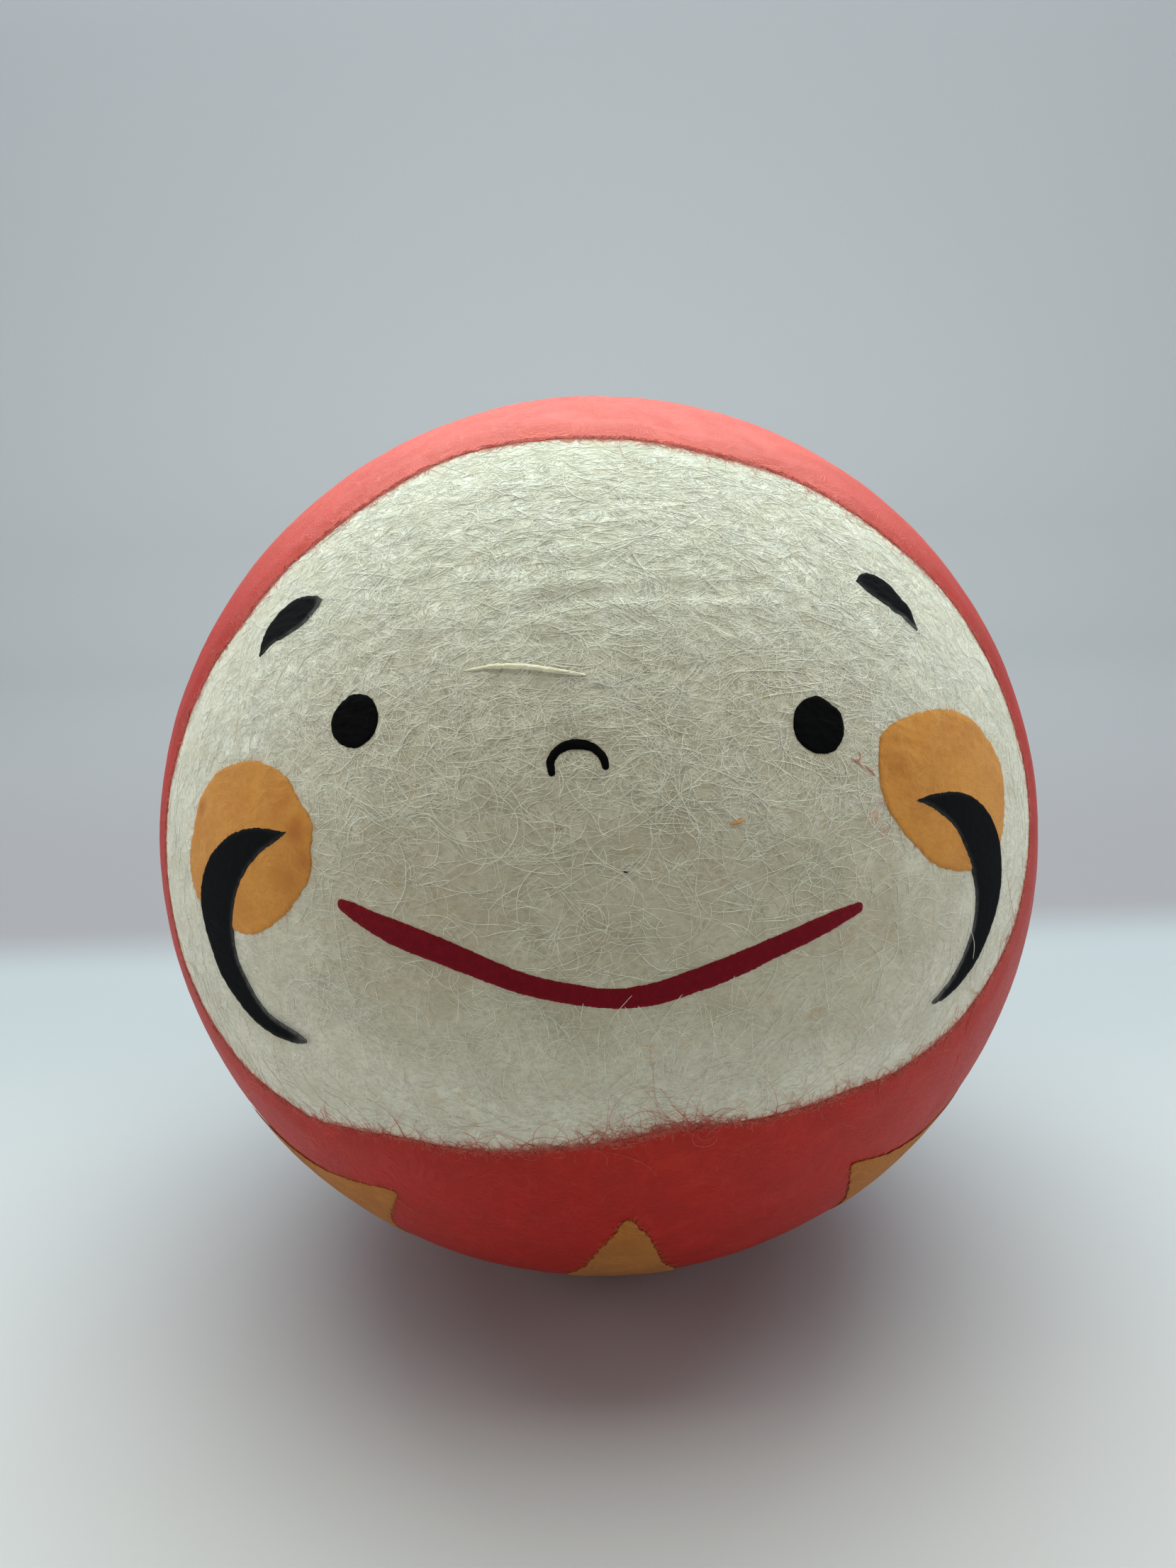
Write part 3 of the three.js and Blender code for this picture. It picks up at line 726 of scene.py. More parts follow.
EYE_LEFT = [
    (26.21, -24.45), (25.01, -24.53), (23.99, -25.32), (23.28, -26.79), (23.56, -28.7), (24.57, -30.17),
    (25.86, -30.67), (26.98, -30.42), (28.0, -29.76), (28.77, -28.35), (28.65, -26.32), (27.47, -24.95)]
EYE_RIGHT = [
    (23.96, 27.97), (22.61, 27.37), (21.52, 25.9), (21.54, 23.98), (22.28, 22.57), (23.34, 21.76),
    (24.6, 21.72), (25.92, 22.27), (26.98, 23.71), (27.23, 25.71), (26.28, 27.05), (25.25, 27.97)]
CHEEK_LEFT = [
    (12.9, -30.85), (10.5, -30.65), (8, -32.1), (5.2, -34.7), (2.5, -39.5),
    (2.4, -45), (3.6, -50.5), (6.2, -53.1), (9.1, -53.4), (11.9, -52.8),
    (15.2, -52), (18.7, -48.3), (20.6, -41.9), (19.7, -36.2), (17.4, -33.1), (15.3, -31)]
CHEEK_RIGHT = [
    (12.8, 54.4), (10, 53.2), (6.5, 50), (6, 44.4), (7.8, 38.2), (10.6, 34.9),
    (12.8, 33), (14.9, 31.8), (17.1, 31.2), (19.6, 31.5), (22.6, 33.3),
    (23.7, 38.1), (23.6, 44), (21.8, 49.9), (18.6, 53.2), (15.6, 54.8)]
YELLOW_UP = [
    (-29.7, 0), (-31.8, 1.6), (-35.8, 3.6), (-44.2, 6.2), (-52.5, 10.5),
    (-53.6, 0), (-52.0, -10.2), (-44, -6.3), (-38, -3.9), (-33.2, -1.7)]
YELLOW_DOWN = [
    (-27.6, -15.2), (-28.4, -11), (-29.4, -6.5), (-30.1, 0), (-29.6, 6), (-28.8, 11), (-28.5, 15.5),
    (-31.8, 13.6), (-35.6, 10.6), (-43.5, 5.4), (-51.5, 0), (-43.5, -5.2), (-35.8, -10.8), (-31.5, -13.4)]


def centre_of(points):
    m = direction(*np.array([p[:2] for p in points], float).T).mean(0)
    return m / np.linalg.norm(m)


def stroke_outline(points, pole):
    """Outline and middle line of a brush stroke, in the plane of its pole."""
    p = np.array(points, float)
    mid = to_plane(direction(p[:, 0], p[:, 1]), pole)
    fine = spline(np.column_stack([mid, p[:, 2]]), 8, False)
    d = np.gradient(fine[:, :2], axis=0)
    d /= np.linalg.norm(d, axis=1, keepdims=True)
    nrm = np.column_stack([-d[:, 1], d[:, 0]])
    half = fine[:, 2:3] / 2
    a, b = fine[:, :2] + nrm * half, fine[:, :2] - nrm * half
    return np.concatenate([a, b[::-1]]), fine


def outline_of(points, pole, samples=8):
    p = np.array(points, float)
    return spline(to_plane(direction(p[:, 0], p[:, 1]), pole), samples)


def inside_stroke(xy, fine):
    """Signed distance to a stroke swept along its middle line, positive inside."""
    best = np.full(len(xy), -1e9)
    for x, y, width in fine:
        best = np.maximum(best, width / 2 - np.hypot(xy[:, 0] - x, xy[:, 1] - y))
    return best


def mark(name, poly, pole, step, lift, ragged, rag_scale, thick, seed, surface=face_r, attrs=None, feather=0.25, keep=True, stroke=None):
    lo, hi = poly.min(0) - 1.2, poly.max(0) + 1.2
    xy, tris = grid(lo[0], hi[0], lo[1], hi[1], step)
    f = inside_distance(xy, poly) if stroke is None else inside_stroke(xy, stroke)
    p3 = np.column_stack([xy * rag_scale, np.full(len(xy), seed * 3.1)])
    f = f + ragged * (N3(p3) + 0.6 * N4(p3 * 2.7))
    data, tris = clip(np.column_stack([xy, f]), tris, f)
    if keep:
        data, tris = biggest(data, tris)
    q = from_plane(data[:, :2], pole)
    edge = smooth(0, feather, data[:, 2])
    if callable(lift):
        lift = lift(q)
    top = surface(q) + lift * (0.35 + 0.65 * edge) + 0.01 * N5(q * 70)
    extra = attrs(q, data[:, :2], data[:, 2]) if attrs else {}
    uv = data[:, :2] + seed * 7.3
    return sheet_solid(name, q, tris, top, lift * 0.35 + thick * (0.4 + 0.6 * edge), uv, extra)


# ------------------------------------------------------------------ cream face paper

def stroke_side(xy, fine):
    """Which side of a stroke's middle line a point lies on, and how far along (0 to 1)."""
    d2 = ((xy[:, None, :] - fine[None, :, :2]) ** 2).sum(2)
    k = d2.argmin(1)
    t = np.gradient(fine[:, :2], axis=0)[k]
    w = xy - fine[k, :2]
    return np.sign(t[:, 0] * w[:, 1] - t[:, 1] * w[:, 0]), k / (len(fine) - 1), np.sqrt(d2[np.arange(len(xy)), k]), fine[k, 2] / 2


def face_attributes(q):
    n = len(q)
    ink, blush = np.zeros(n), np.zeros(n)
    for pts, side_sign, amount, reach in ((WHISKER_LEFT, 1, 0.55, 0.55), (WHISKER_RIGHT, -1, 0.5, 0.5), (BROW_LEFT, -1, 0.5, 0.5), (BROW_RIGHT, -1, 0.5, 0.45)):
        pole = centre_of(pts)
        near = np.nonzero(q @ pole > math.cos(16 * RAD))[0]
        if not len(near):
            continue
        xy = to_plane(q[near], pole)
        _, fine = stroke_outline(pts, pole)
        sgn, along, d, half = stroke_side(xy, fine)
        out = np.maximum(d - half, 0)
        ends = 0.35 + 0.65 * smooth(0.45, 0.95, along)
        ink[near] = np.maximum(ink[near], amount * np.exp(-(out / reach) ** 2) * ends * np.where(sgn == side_sign, 1, 0.25))
    for px_lat, px_lon, size, a in ((14.5, 29.6, 0.5, 0.5), (12.8, 30.6, 0.4, 0.4), (15.9, 31.0, 0.5, 0.35)):
        d = np.arccos(np.clip(q @ direction(px_lat, px_lon), -1, 1)) * 47
        blush = np.maximum(blush, a * np.exp(-(d / size) ** 2))
    rim_d = -outside_opening(q)
    p3 = q * 9
    blush = np.maximum(blush, 0.50 * np.exp(-np.maximum(rim_d, 0) / 0.42) * (0.6 + 0.4 * N2(p3)))
    lat, lon = latlon(q)
    # painted shade over the middle of the face, fading out towards the forehead, the chin and the cheeks
    painted_centre_shade = smooth(44, 24, lat) * smooth(-13, 3, lat) * smooth(50, 22, np.abs(lon)) * (0.78 + 0.22 * N1(q * 7))
    return {"fib": fibrousness(q), "ink": np.clip(ink, 0, 1), "blush": np.clip(blush, 0, 1), "painted_centre_shade": np.clip(painted_centre_shade, 0, 1)}


STEP_FACE = 0.435
xy, tris = grid(-58, 58, -58, 58, STEP_FACE)
q = from_plane(xy, FACE_POLE)
f = opening_radius(np.arctan2(xy[:, 1], xy[:, 0])) + 2.6 - np.hypot(xy[:, 0], xy[:, 1])
data, tris = clip(xy, tris, f)
q = from_plane(data, FACE_POLE)
top = face_r(q)
under = smooth(-0.1, 1.1, outside_opening(q))
face = sheet_solid("face_paper_sheet", q, tris, top - 0.06 * under, 0.14, data, face_attributes(q))
dress(face, CREAM, ["face_paper"])


# ------------------------------------------------------------------ pleat on the forehead

def pleat():
    path = PLEAT_XY
    seg = spline(path, 4, False)
    m = len(seg)
    t = np.linspace(0, 1, m)
    d = np.gradient(seg, axis=0)
    d /= np.linalg.norm(d, axis=1, keepdims=True)
    nrm = np.column_stack([-d[:, 1], d[:, 0]])
    swell = np.sin(np.pi * np.clip(t, 0, 1)) ** 0.55
    p3 = np.column_stack([t * 9, 0 * t, 0 * t])
    wob = 1 + 0.25 * N1(p3) + 0.15 * N2(p3 * 3)
    half = 0.21 * swell * wob + 0.03
    tall = 0.26 * swell * wob + 0.02
    sides = 16
    ang = np.linspace(0, 2 * np.pi, sides, endpoint=False)
    rows = []
    for i in range(m):
        x = np.cos(ang) * half[i]
        h = np.sin(ang) * tall[i]
        # the fold leans down over the paper below it
        x = x - 0.45 * np.maximum(h, 0)
        rows.append(np.column_stack([seg[i, 0] + nrm[i, 0] * x, seg[i, 1] + nrm[i, 1] * x, h]))
    rows = np.concatenate(rows)
    q = from_plane(rows[:, :2], FACE_POLE)
    r = R_FACE + unevenness(q) + face_relief(q) + 0.02 + rows[:, 2]
    i = np.arange(m - 1)[:, None] * sides
    k = np.arange(sides)[None]
    k2 = (k + 1) % sides
    a, b, c, e = i + k, i + k2, i + sides + k2, i + sides + k
    faces = [np.stack([a, c, b], -1).reshape(-1, 3), np.stack([a, e, c], -1).reshape(-1, 3)]
    for j in range(1, sides - 1):
        faces.append(np.array([[0, j, j + 1]]))
        s = (m - 1) * sides
        faces.append(np.array([[s, s + j + 1, s + j]]))
    faces = np.concatenate(faces)
    n = len(q)
    return new_mesh("face_pleat", q * r[:, None], faces, rows[:, :2] * 1.0, True,
                    {"fib": np.full(n, 0.9)})


# the fold's paper is lighter than the cream sheet: a painted highlight along its crest
PLEAT_PAPER = washi("washi_cream_fold_painted_highlight", (0.72, 0.68, 0.50), (0.60, 0.54, 0.36), (0.88, 0.86, 0.72), mottle=0.35, hair_mix=0.8,
                    width=0.08, across=3.0, bump=0.9, weight="fib", fine=0.4, sheen=0.2, angles=(-4, 3, 10, -12))
dress(pleat(), PLEAT_PAPER, ["face_paper"])


# ------------------------------------------------------------------ cream hairs

MARK_OUTLINES = []
for _pts in (EYE_LEFT, EYE_RIGHT, CHEEK_LEFT, CHEEK_RIGHT):
    _pole = centre_of(_pts)
    MARK_OUTLINES.append((_pole, outline_of(_pts, _pole, 4)))
for _pts in (NOSE, MOUTH, WHISKER_LEFT, WHISKER_RIGHT, BROW_LEFT, BROW_RIGHT):
    _pole = centre_of(_pts)
    MARK_OUTLINES.append((_pole, stroke_outline(_pts, _pole)[0][::3]))


def under_marks(q, margin=0.15):
    hit = np.zeros(len(q), bool)
    for pole, poly in MARK_OUTLINES:
        reach = math.cos((np.linalg.norm(poly, axis=1).max() + 1) / 47.0)
        near = np.nonzero(q @ pole > reach)[0]
        if len(near):
            hit[near] |= inside_distance(to_plane(q[near], pole), poly) > -margin
    return hit


def cream_hairs(name, count, seed, length, radius, lift, points, spread):
    rng = np.random.default_rng(seed)
    q = []
    total = 0
    while total < count:
        xy = rng.uniform(-54, 54, (count * 2, 2))
        c = from_plane(xy, FACE_POLE)
        ok = outside_opening(c) < -1.5
        c = c[ok]
        keep = rng.random(len(c)) < fibrousness(c) ** 1.3
        q.append(c[keep])
        total += keep.sum()
    q = np.concatenate(q)[:count]
    lat, lon = latlon(q)
    heading = rng.normal(0, spread, count) + np.where(lat < -2, rng.choice([0.0, 1.3], count), 0) + rng.choice([0, math.pi], count)
    size = length * rng.lognormal(0, 0.45, count)
    path = trace(q, heading, size, points, rng.normal(0, 1.5, count), 1.3, rng)
    flat = path.reshape(-1, 3)
    r = face_r(flat).reshape(count, points)
    t = np.linspace(0, 1, points)[None]
    phase = rng.random((count, 1)) * 6.28
    h = lift * (0.25 + 0.75 * rng.random((count, 1))) * (0.5 + 0.5 * np.sin(phase + t * rng.uniform(2, 9, (count, 1))))
    taper = np.sin(np.pi * np.clip(t, 0.03, 0.97)) ** 0.35
    rad = radius * rng.uniform(0.6, 1.4, (count, 1)) * taper
    out = ((outside_opening(flat) > -0.4) | under_marks(flat)).reshape(count, points)
    h = np.where(out, -0.14, h)
    pos = path * (r + h)[:, :, None]
    return tubes(name, pos, path, rad, 3, {"along": np.repeat(rng.random((count, 1)), points, 1)})


FEW = 1.0
for part, seed in (("a", 5), ("b", 15)):
    dress(cream_hairs(f"face_hairs_long_{part}", int(1300 * FEW), seed, 4.6, 0.023, 0.06, 16, 0.50), CREAM_HAIR, ["face_paper"])
    dress(cream_hairs(f"face_hairs_short_{part}", int(4200 * FEW), seed + 1, 2.8, 0.019, 0.05, 7, 0.55), CREAM_HAIR, ["face_paper"])


def threads(name, ends, seed, radius, lift, material, curl=0.8):
    """Single loose fibres: (lat, lon, heading in degrees, length in mm)."""
    e = np.array(ends, float)
    rng = np.random.default_rng(seed)
    path = trace(direction(e[:, 0], e[:, 1]), np.radians(e[:, 2]), e[:, 3], 14, rng.normal(0, curl, len(e)), 0.7, rng)
    t = np.linspace(0, 1, 14)[None]
    r = face_r(path.reshape(-1, 3)).reshape(len(e), 14)
    h = 0.03 + lift * np.sin(np.pi * t) ** 2 * (0.4 + 0.6 * rng.random((len(e), 1)))
    rad = radius * (0.35 + 0.65 * np.sin(np.pi * np.clip(t, 0.04, 0.96))) * np.ones((len(e), 1))
    dress(tubes(name, path * (r + h)[:, :, None], path, rad, 4, {"along": np.repeat(t, len(e), 0)}), material, ["face_paper"])


_rng = np.random.default_rng(91)
threads("face_chin_fibres", [(_rng.uniform(-13, -3), _rng.normal(3, 14), _rng.normal(82, 16), _rng.uniform(2.5, 6.5)) for _ in range(90)],
        92, 0.024, 0.16, CREAM_HAIR)
threads("face_speck_dark", [(12.1, 2.35, -40, 0.38)], 93, 0.07, 0.01, INK)
threads("face_speck_orange", [(15.8, 13.2, -5, 1.3)], 94, 0.16, 0.01, ORANGE_HAIR)
threads("face_fibre_rust", [(20.6, 27.9, -28, 1.5), (19.6, 29.6, -42, 1.3), (20.2, 28.8, 10, 0.9)], 95, 0.045, 0.03, RED_HAIR)


# ------------------------------------------------------------------ red gores

def under_red(q):
    """What lies under the red, taken everywhere as the cream paper's top without its relief."""
    return R_FACE + unevenness(q)


def red_top(q, level):
    out = outside_opening(q)
    full = R_RED + (R_RED_OVER - R_RED) * level
    edge = smooth(0.0, 3.2, out)
    hug = R_FACE + 0.040 + 0.03 * level + 0.03 * smooth(0.0, 1.0, out)
    return hug + (full - hug) * edge + unevenness(q) + red_relief(q) * edge + face_relief(q) * (1 - edge)


def gore(name, lon0, lon1, level, lat0, lat1, seed, lap0, lap1, nodes):
    """Red sheet between two longitudes. lap0 and lap1 are how far it runs past each, in millimetres."""
    mid = (lon0 + lon1) / 2
    half = (lon1 - lon0) / 2 + 4
    step = 0.42
    u, tris = grid(-half * RAD * 47, half * RAD * 47, lat0 * RAD * 47, lat1 * RAD * 47, step)
    lat, lon = u[:, 1] / 47 / RAD, mid + u[:, 0] / 47 / RAD
    q = direction(lat, lon)
    c = np.cos(lat * RAD)
    lap = smooth(0.02, 0.16, c)
    rag = 0.20 * N3(q * 22 + seed) + 0.14 * N4(q * 60 + seed) + 0.35 * N2(q * 6 + seed)
    side = np.minimum((lon - lon0) * RAD * 47 * c + lap0 * lap, (lon1 - lon) * RAD * 47 * c + lap1 * lap) + rag * lap
    out = outside_opening(q)
    edge_rag = 0.20 * N3(q * 30 + 5) + 0.16 * N4(q * 75 + 9) + 0.30 * N1(q * 9) + 0.10 * N5(q * 130)
    f = np.minimum(side, out + edge_rag)
    ring = np.hypot(q[:, 0], q[:, 1]) * 46.9
    low = np.where(q[:, 2] < -0.7, ring - 14.2 + 0.3 * N2(q * 12 + seed), 99)
    f = np.minimum(f, low)
    data, tris = clip(np.column_stack([lon, lat, f, side]), tris, f)
    data, tris = biggest(data, tris, 60)
    q = direction(data[:, 1], data[:, 0])
    q /= np.linalg.norm(q, axis=1, keepdims=True)
    edge = smooth(0, 0.5, data[:, 2])
    # pasted down: the lapping gore comes down onto the one below along its edge
    top = red_top(q, level * (0.08 + 0.92 * smooth(0, 3.0, data[:, 3]))) - 0.015 * (1 - edge) + 0.0015 * (seed % 7)
    # the top of the ball: all the gores meet, so each rides a hair over the last
    floor = -44.62
    top = np.where(q[:, 2] * top < floor, floor / np.minimum(q[:, 2], -0.5), top)
    uv = np.column_stack([(data[:, 0] - mid) * RAD * 47 * np.cos(data[:, 1] * RAD), data[:, 1] * RAD * 47]) + seed * 17.0
    # painted light: brighter red towards the top of the ball, where the light falls
    painted_top_light = smooth(0.45, 0.92, q[:, 2]) * (0.86 + 0.14 * N1(q * 8))
    ob = sheet_solid(name, q, tris, top, 0.04 + 0.08 * edge, uv, {"painted_top_light": np.clip(painted_top_light, 0, 1)})
    dress(ob, RED_OVER if level else RED, nodes)
    return ob


SEAM = [2 + 45 * k for k in range(-4, 5)]
gore("red_front_low_right_sheet", 2, 47, 0, -75, 12, 1, 2.0, 2.0, ["red_front_low_right"])
gore("red_front_low_left_sheet", -43, 2, 1, -75, 12, 2, 0.3, 0.6, ["red_front_low_left"])
gore("red_crown_right_sheet", 2, 47, 0, 40, 89.6, 3, 2.0, 2.0, ["red_crown_right"])
gore("red_crown_left_sheet", -43, 2, 1, 40, 89.6, 4, 0.6, 0.6, ["red_crown_left"])
gore("red_side_right_sheet", 47, 92, 1, -75, 89.6, 5, 0.6, 0.6, ["red_side_right"])
gore("red_side_left_sheet", -88, -43, 0, -75, 89.6, 6, 2.0, 2.0, ["red_side_left"])
gore("red_back_1_sheet", 92, 137, 0, -75, 89.6, 8, 2.0, 2.0, ["red_back_1"])
gore("red_back_2_sheet", 137, 182, 1, -75, 89.6, 9, 0.6, 0.6, ["red_back_2"])
gore("red_back_3_sheet", 182, 227, 0, -75, 89.6, 10, 2.0, 2.0, ["red_back_3"])
gore("red_back_4_sheet", 227, 272, 1, -75, 89.6, 11, 0.6, 0.6, ["red_back_4"])


# ------------------------------------------------------------------ torn red edge

def edge_hairs(name, count, seed, length, radius, points, phi_range=None, curl=1.5, inset=0.25, spread=0.7, lift=0.10, dense=None):
    rng = np.random.default_rng(seed)
    if phi_range is None:
        phi = rng.uniform(-math.pi, math.pi, count)
    else:
        phi = rng.uniform(*phi_range, count)
    if dense is not None:
        phi = dense(rng, count)
    r = opening_radius(phi) + inset * (0.4 + rng.random(count))
    q = from_plane(np.column_stack([np.cos(phi) * r, np.sin(phi) * r]), FACE_POLE)
    to_mid = FACE_POLE[None] - (q @ FACE_POLE)[:, None] * q
    to_mid /= np.linalg.norm(to_mid, axis=1, keepdims=True)
    east = np.column_stack([-q[:, 1], q[:, 0], np.zeros(count)])
    east /= np.linalg.norm(east, axis=1, keepdims=True)
    north = np.cross(q, east)
    base = np.arctan2((to_mid * north).sum(1), (to_mid * east).sum(1))
    heading = base + rng.normal(0, spread, count)
    size = length * rng.lognormal(0, 0.55, count)
    path = trace(q, heading, size, points, rng.normal(0, curl, count), 1.2, rng)
    flat = path.reshape(-1, 3)
    out = outside_opening(flat).reshape(count, points)
    base_r = np.where(out > 0, red_top(flat, 0).reshape(count, points), face_r(flat).reshape(count, points))
    t = np.linspace(0, 1, points)[None]
    h = 0.03 + lift * np.sin(np.pi * t) * rng.random((count, 1))
    rad = radius * rng.uniform(0.6, 1.3, (count, 1)) * (1 - 0.55 * t)
    pos = path * (base_r + h)[:, :, None]
    return tubes(name, pos, path, rad, 3, {"along": np.repeat(t, count, 0)})


def chin_phi(rng, n):
    """Most of the long hairs stand along the lower edge, right of its middle."""
    lon = np.concatenate([rng.normal(5, 4.2, int(n * 0.62)), rng.normal(-8, 7, int(n * 0.22)), rng.uniform(-40, 40, n - int(n * 0.62) - int(n * 0.22))])
    lat = np.full(n, -16.5)
    xy = to_plane(direction(lat, lon), FACE_POLE)
    return np.arctan2(xy[:, 1], xy[:, 0])


dress(edge_hairs("red_edge_fuzz", int(7500 * FEW), 21, 0.62, 0.022, 5, inset=0.40, spread=0.8, curl=1.2, lift=0.03), RED_HAIR, ["red_side_left"])
dress(edge_hairs("red_edge_wisps", int(900 * FEW), 22, 1.35, 0.020, 9, inset=0.35, spread=0.7, curl=2.4, lift=0.05), RED_HAIR, ["red_front_low_left"])
dress(edge_hairs("red_edge_chin_hairs", 210, 23, 2.7, 0.020, 16, inset=0.3, spread=0.6, curl=3.4, lift=0.12, dense=chin_phi), RED_HAIR, ["red_front_low_right"])


# ------------------------------------------------------------------ painted and pasted face

def even(q, xy, d):
    return {"thin": 0.35 * smooth(0.12, 0.0, d)}


for name, pts, seed in (("eye_left", EYE_LEFT, 1), ("eye_right", EYE_RIGHT, 2)):
    pole = centre_of(pts)
    ob = mark(name + "_dot", outline_of(pts, pole), pole, 0.11, 0.12, 0.035, 2.6, 0.05, seed, attrs=even)
    dress(ob, INK, [name])

pole = centre_of(NOSE)
poly, fine = stroke_outline(NOSE, pole)
dress(mark("nose_arc", poly, pole, 0.07, 0.12, 0.030, 4.2, 0.05, 3, attrs=even, stroke=fine), INK, ["nose"])

pole = centre_of(MOUTH)
poly, fine = stroke_outline(MOUTH, pole)
dress(mark("mouth_crescent", poly, pole, 0.12, 0.11, 0.045, 2.4, 0.05, 4, attrs=even, stroke=fine), CRIMSON, ["mouth"])

STAINS = {
    "cheek_left": [(14.3, -33.0, 1.3, 0.9), (11.6, -31.7, 1.0, 0.8), (14.0, -51.2, 0.8, 0.8), (9.5, -33.5, 1.4, 0.45), (17.0, -36.5, 2.2, 0.35), (16.2, -43.5, 2.6, 0.25)],
    "cheek_right": [(19.5, 33.5, 1.6, 0.5), (14.0, 36.0, 2.2, 0.3), (20.5, 46.0, 2.5, 0.25), (9.5, 44.0, 1.8, 0.35)],
}


def cheek_attrs(name):
    def made(q, xy, d):
        s = np.zeros(len(q))
        for lat, lon, size, a in STAINS[name]:
            dist = np.arccos(np.clip(q @ direction(lat, lon), -1, 1)) * 47
            s = np.maximum(s, a * np.exp(-(dist / size) ** 2))
        s = np.maximum(s, 0.45 * smooth(0.5, 0.0, d) * (0.5 + 0.5 * N2(q * 18)))
        return {"stain": np.clip(s * (0.8 + 0.4 * N3(q * 30)), 0, 1)}
    return made


for name, pts, seed in (("cheek_left", CHEEK_LEFT, 5), ("cheek_right", CHEEK_RIGHT, 6)):
    pole = centre_of(pts)
    poly = outline_of(pts, pole)
    ob = mark(name + "_disc", poly, pole, 0.20, 0.10, 0.10, 1.3, 0.06, seed, attrs=cheek_attrs(name))
    dress(ob, ORANGE, [name])
    rng = np.random.default_rng(40 + seed)
    k = rng.integers(0, len(poly), int(240 * FEW))
    start = from_plane(poly[k] * (1 - 0.25 / np.maximum(np.linalg.norm(poly[k], axis=1, keepdims=True), 1)), pole)
    east, north = axes_at(pole)
    head = np.arctan2(poly[k, 1], poly[k, 0]) + rng.normal(0, 0.8, len(k))
    path = trace(start, head, 0.45 * rng.lognormal(0, 0.5, len(k)), 5, rng.normal(0, 1, len(k)), 0.8, rng)
    flat = path.reshape(-1, 3)
    r = face_r(flat).reshape(len(k), 5) + 0.05
    t = np.linspace(0, 1, 5)[None]
    ob = tubes(name + "_hairs", path * r[:, :, None], path, 0.020 * (1 - 0.5 * t) * np.ones((len(k), 1)), 3, {"along": np.repeat(t, len(k), 0)})
    dress(ob, ORANGE_HAIR, [name])


def brush_attrs(fine, sign):
    def made(q, xy, d):
        sgn, along, dist, half = stroke_side(xy, fine)
        inner = np.where(sgn == sign, 1.0, 0.2)
        fade = smooth(0.55, 0.0, d) * inner * (0.35 + 0.65 * smooth(0.35, 0.9, along))
        tips = smooth(0.9, 1.0, along) * 0.6
        return {"thin": np.clip(fade + tips, 0, 1)}
    return made


for name, pts, seed, sign in (("whisker_left", WHISKER_LEFT, 7, 1), ("whisker_right", WHISKER_RIGHT, 8, -1),
                              ("brow_left", BROW_LEFT, 9, -1), ("brow_right", BROW_RIGHT, 10, -1)):
    pole = centre_of(pts)
    poly, fine = stroke_outline(pts, pole)
    cheek = CHEEK_LEFT if "left" in name else CHEEK_RIGHT
    cheek_pole = centre_of(cheek)
    cheek_poly = outline_of(cheek, cheek_pole, 5)

    def lift(q):
        on = smooth(-1.0, 0.3, inside_distance(to_plane(q, cheek_pole), cheek_poly))
        return 0.095 + 0.085 * on
    ob = mark(name + "_stroke", poly, pole, 0.13, lift, 0.06, 1.9, 0.05, seed, attrs=brush_attrs(fine, sign), stroke=fine)
    dress(ob, BRUSH, [name])


# ------------------------------------------------------------------ yellow washi

def red_surface(q):
    _, lon = latlon(q)
    sector = np.floor(((lon - 2) % 360) / 45).astype(int)
    return np.where(sector % 2 == 1, red_top(q, 1), red_top(q, 0) + 0.05) + 0.03


for i in range(8):
    shift = 2.1 + 45 * i
    pts = [(a, o + shift) for a, o in (YELLOW_DOWN if i % 2 else YELLOW_UP)]
    pole = centre_of(pts)
    p = np.array(pts, float)
    corners = to_plane(direction(p[:, 0], p[:, 1]), pole)
    poly = spline(corners, 5)
    ob = mark(f"yellow_{i + 1}_sheet", poly, pole, 0.22, 0.09, 0.16, 1.1, 0.05, 20 + i, surface=red_surface)
    dress(ob, OCHRE, [f"yellow_{i + 1}"])
    rng = np.random.default_rng(80 + i)
    k = rng.integers(0, len(poly), int(200 * FEW))
    start = from_plane(poly[k] * 0.97, pole)
    head = np.arctan2(poly[k, 1], poly[k, 0]) + rng.normal(0, 0.8, len(k))
    path = trace(start, head, 0.6 * rng.lognormal(0, 0.5, len(k)), 5, rng.normal(0, 1, len(k)), 0.8, rng)
    flat = path.reshape(-1, 3)
    r = red_surface(flat).reshape(len(k), 5) + 0.05
    t = np.linspace(0, 1, 5)[None]
    ob = tubes(f"yellow_{i + 1}_hairs", path * r[:, :, None], path, 0.024 * (1 - 0.5 * t) * np.ones((len(k), 1)), 3, {"along": np.repeat(t, len(k), 0)})
    dress(ob, OCHRE_HAIR, [f"yellow_{i + 1}"])


# ------------------------------------------------------------------ foot disc

def foot():
    rings = [(0.0, 0.02), (4, 0.0), (8, 0.01), (11, 0.0), (12.4, 0.01), (12.8, 0.05), (13.0, 0.18), (12.98, 0.36), (12.7, 0.48), (11, 0.5), (6, 0.5), (0.0, 0.5)]
    seg = 128
    ang = np.linspace(0, 2 * np.pi, seg, endpoint=False)
    verts, faces = [(0, 0, rings[0][1])], []
    for r, z in rings[1:-1]:
        p3 = np.column_stack([np.cos(ang) * 3, np.sin(ang) * 3, np.full(seg, r * 0.2)])
        wob = 1 + 0.006 * N1(p3) * (r > 12)
        verts += [(r * w * math.cos(a) if r * w < 13 else 13 * math.cos(a), r * w * math.sin(a) if r * w < 13 else 13 * math.sin(a), z) for a, w in zip(ang, wob)]
    verts.append((0, 0, rings[-1][1]))
    n = len(rings) - 2
    for s in range(seg):
        t = (s + 1) % seg
        faces.append((0, 1 + t, 1 + s))
        for k in range(n - 1):
            a, b = 1 + k * seg + s, 1 + k * seg + t
            c, d = b + seg, a + seg
            faces += [(a, b, c), (a, c, d)]
        last = 1 + (n - 1) * seg
        faces.append((last + s, last + t, len(verts) - 1))
    v = np.array(verts)
    v[:, 2] -= CENTRE_Z
    return new_mesh("foot_card", v, np.array(faces), v[:, :2], True)


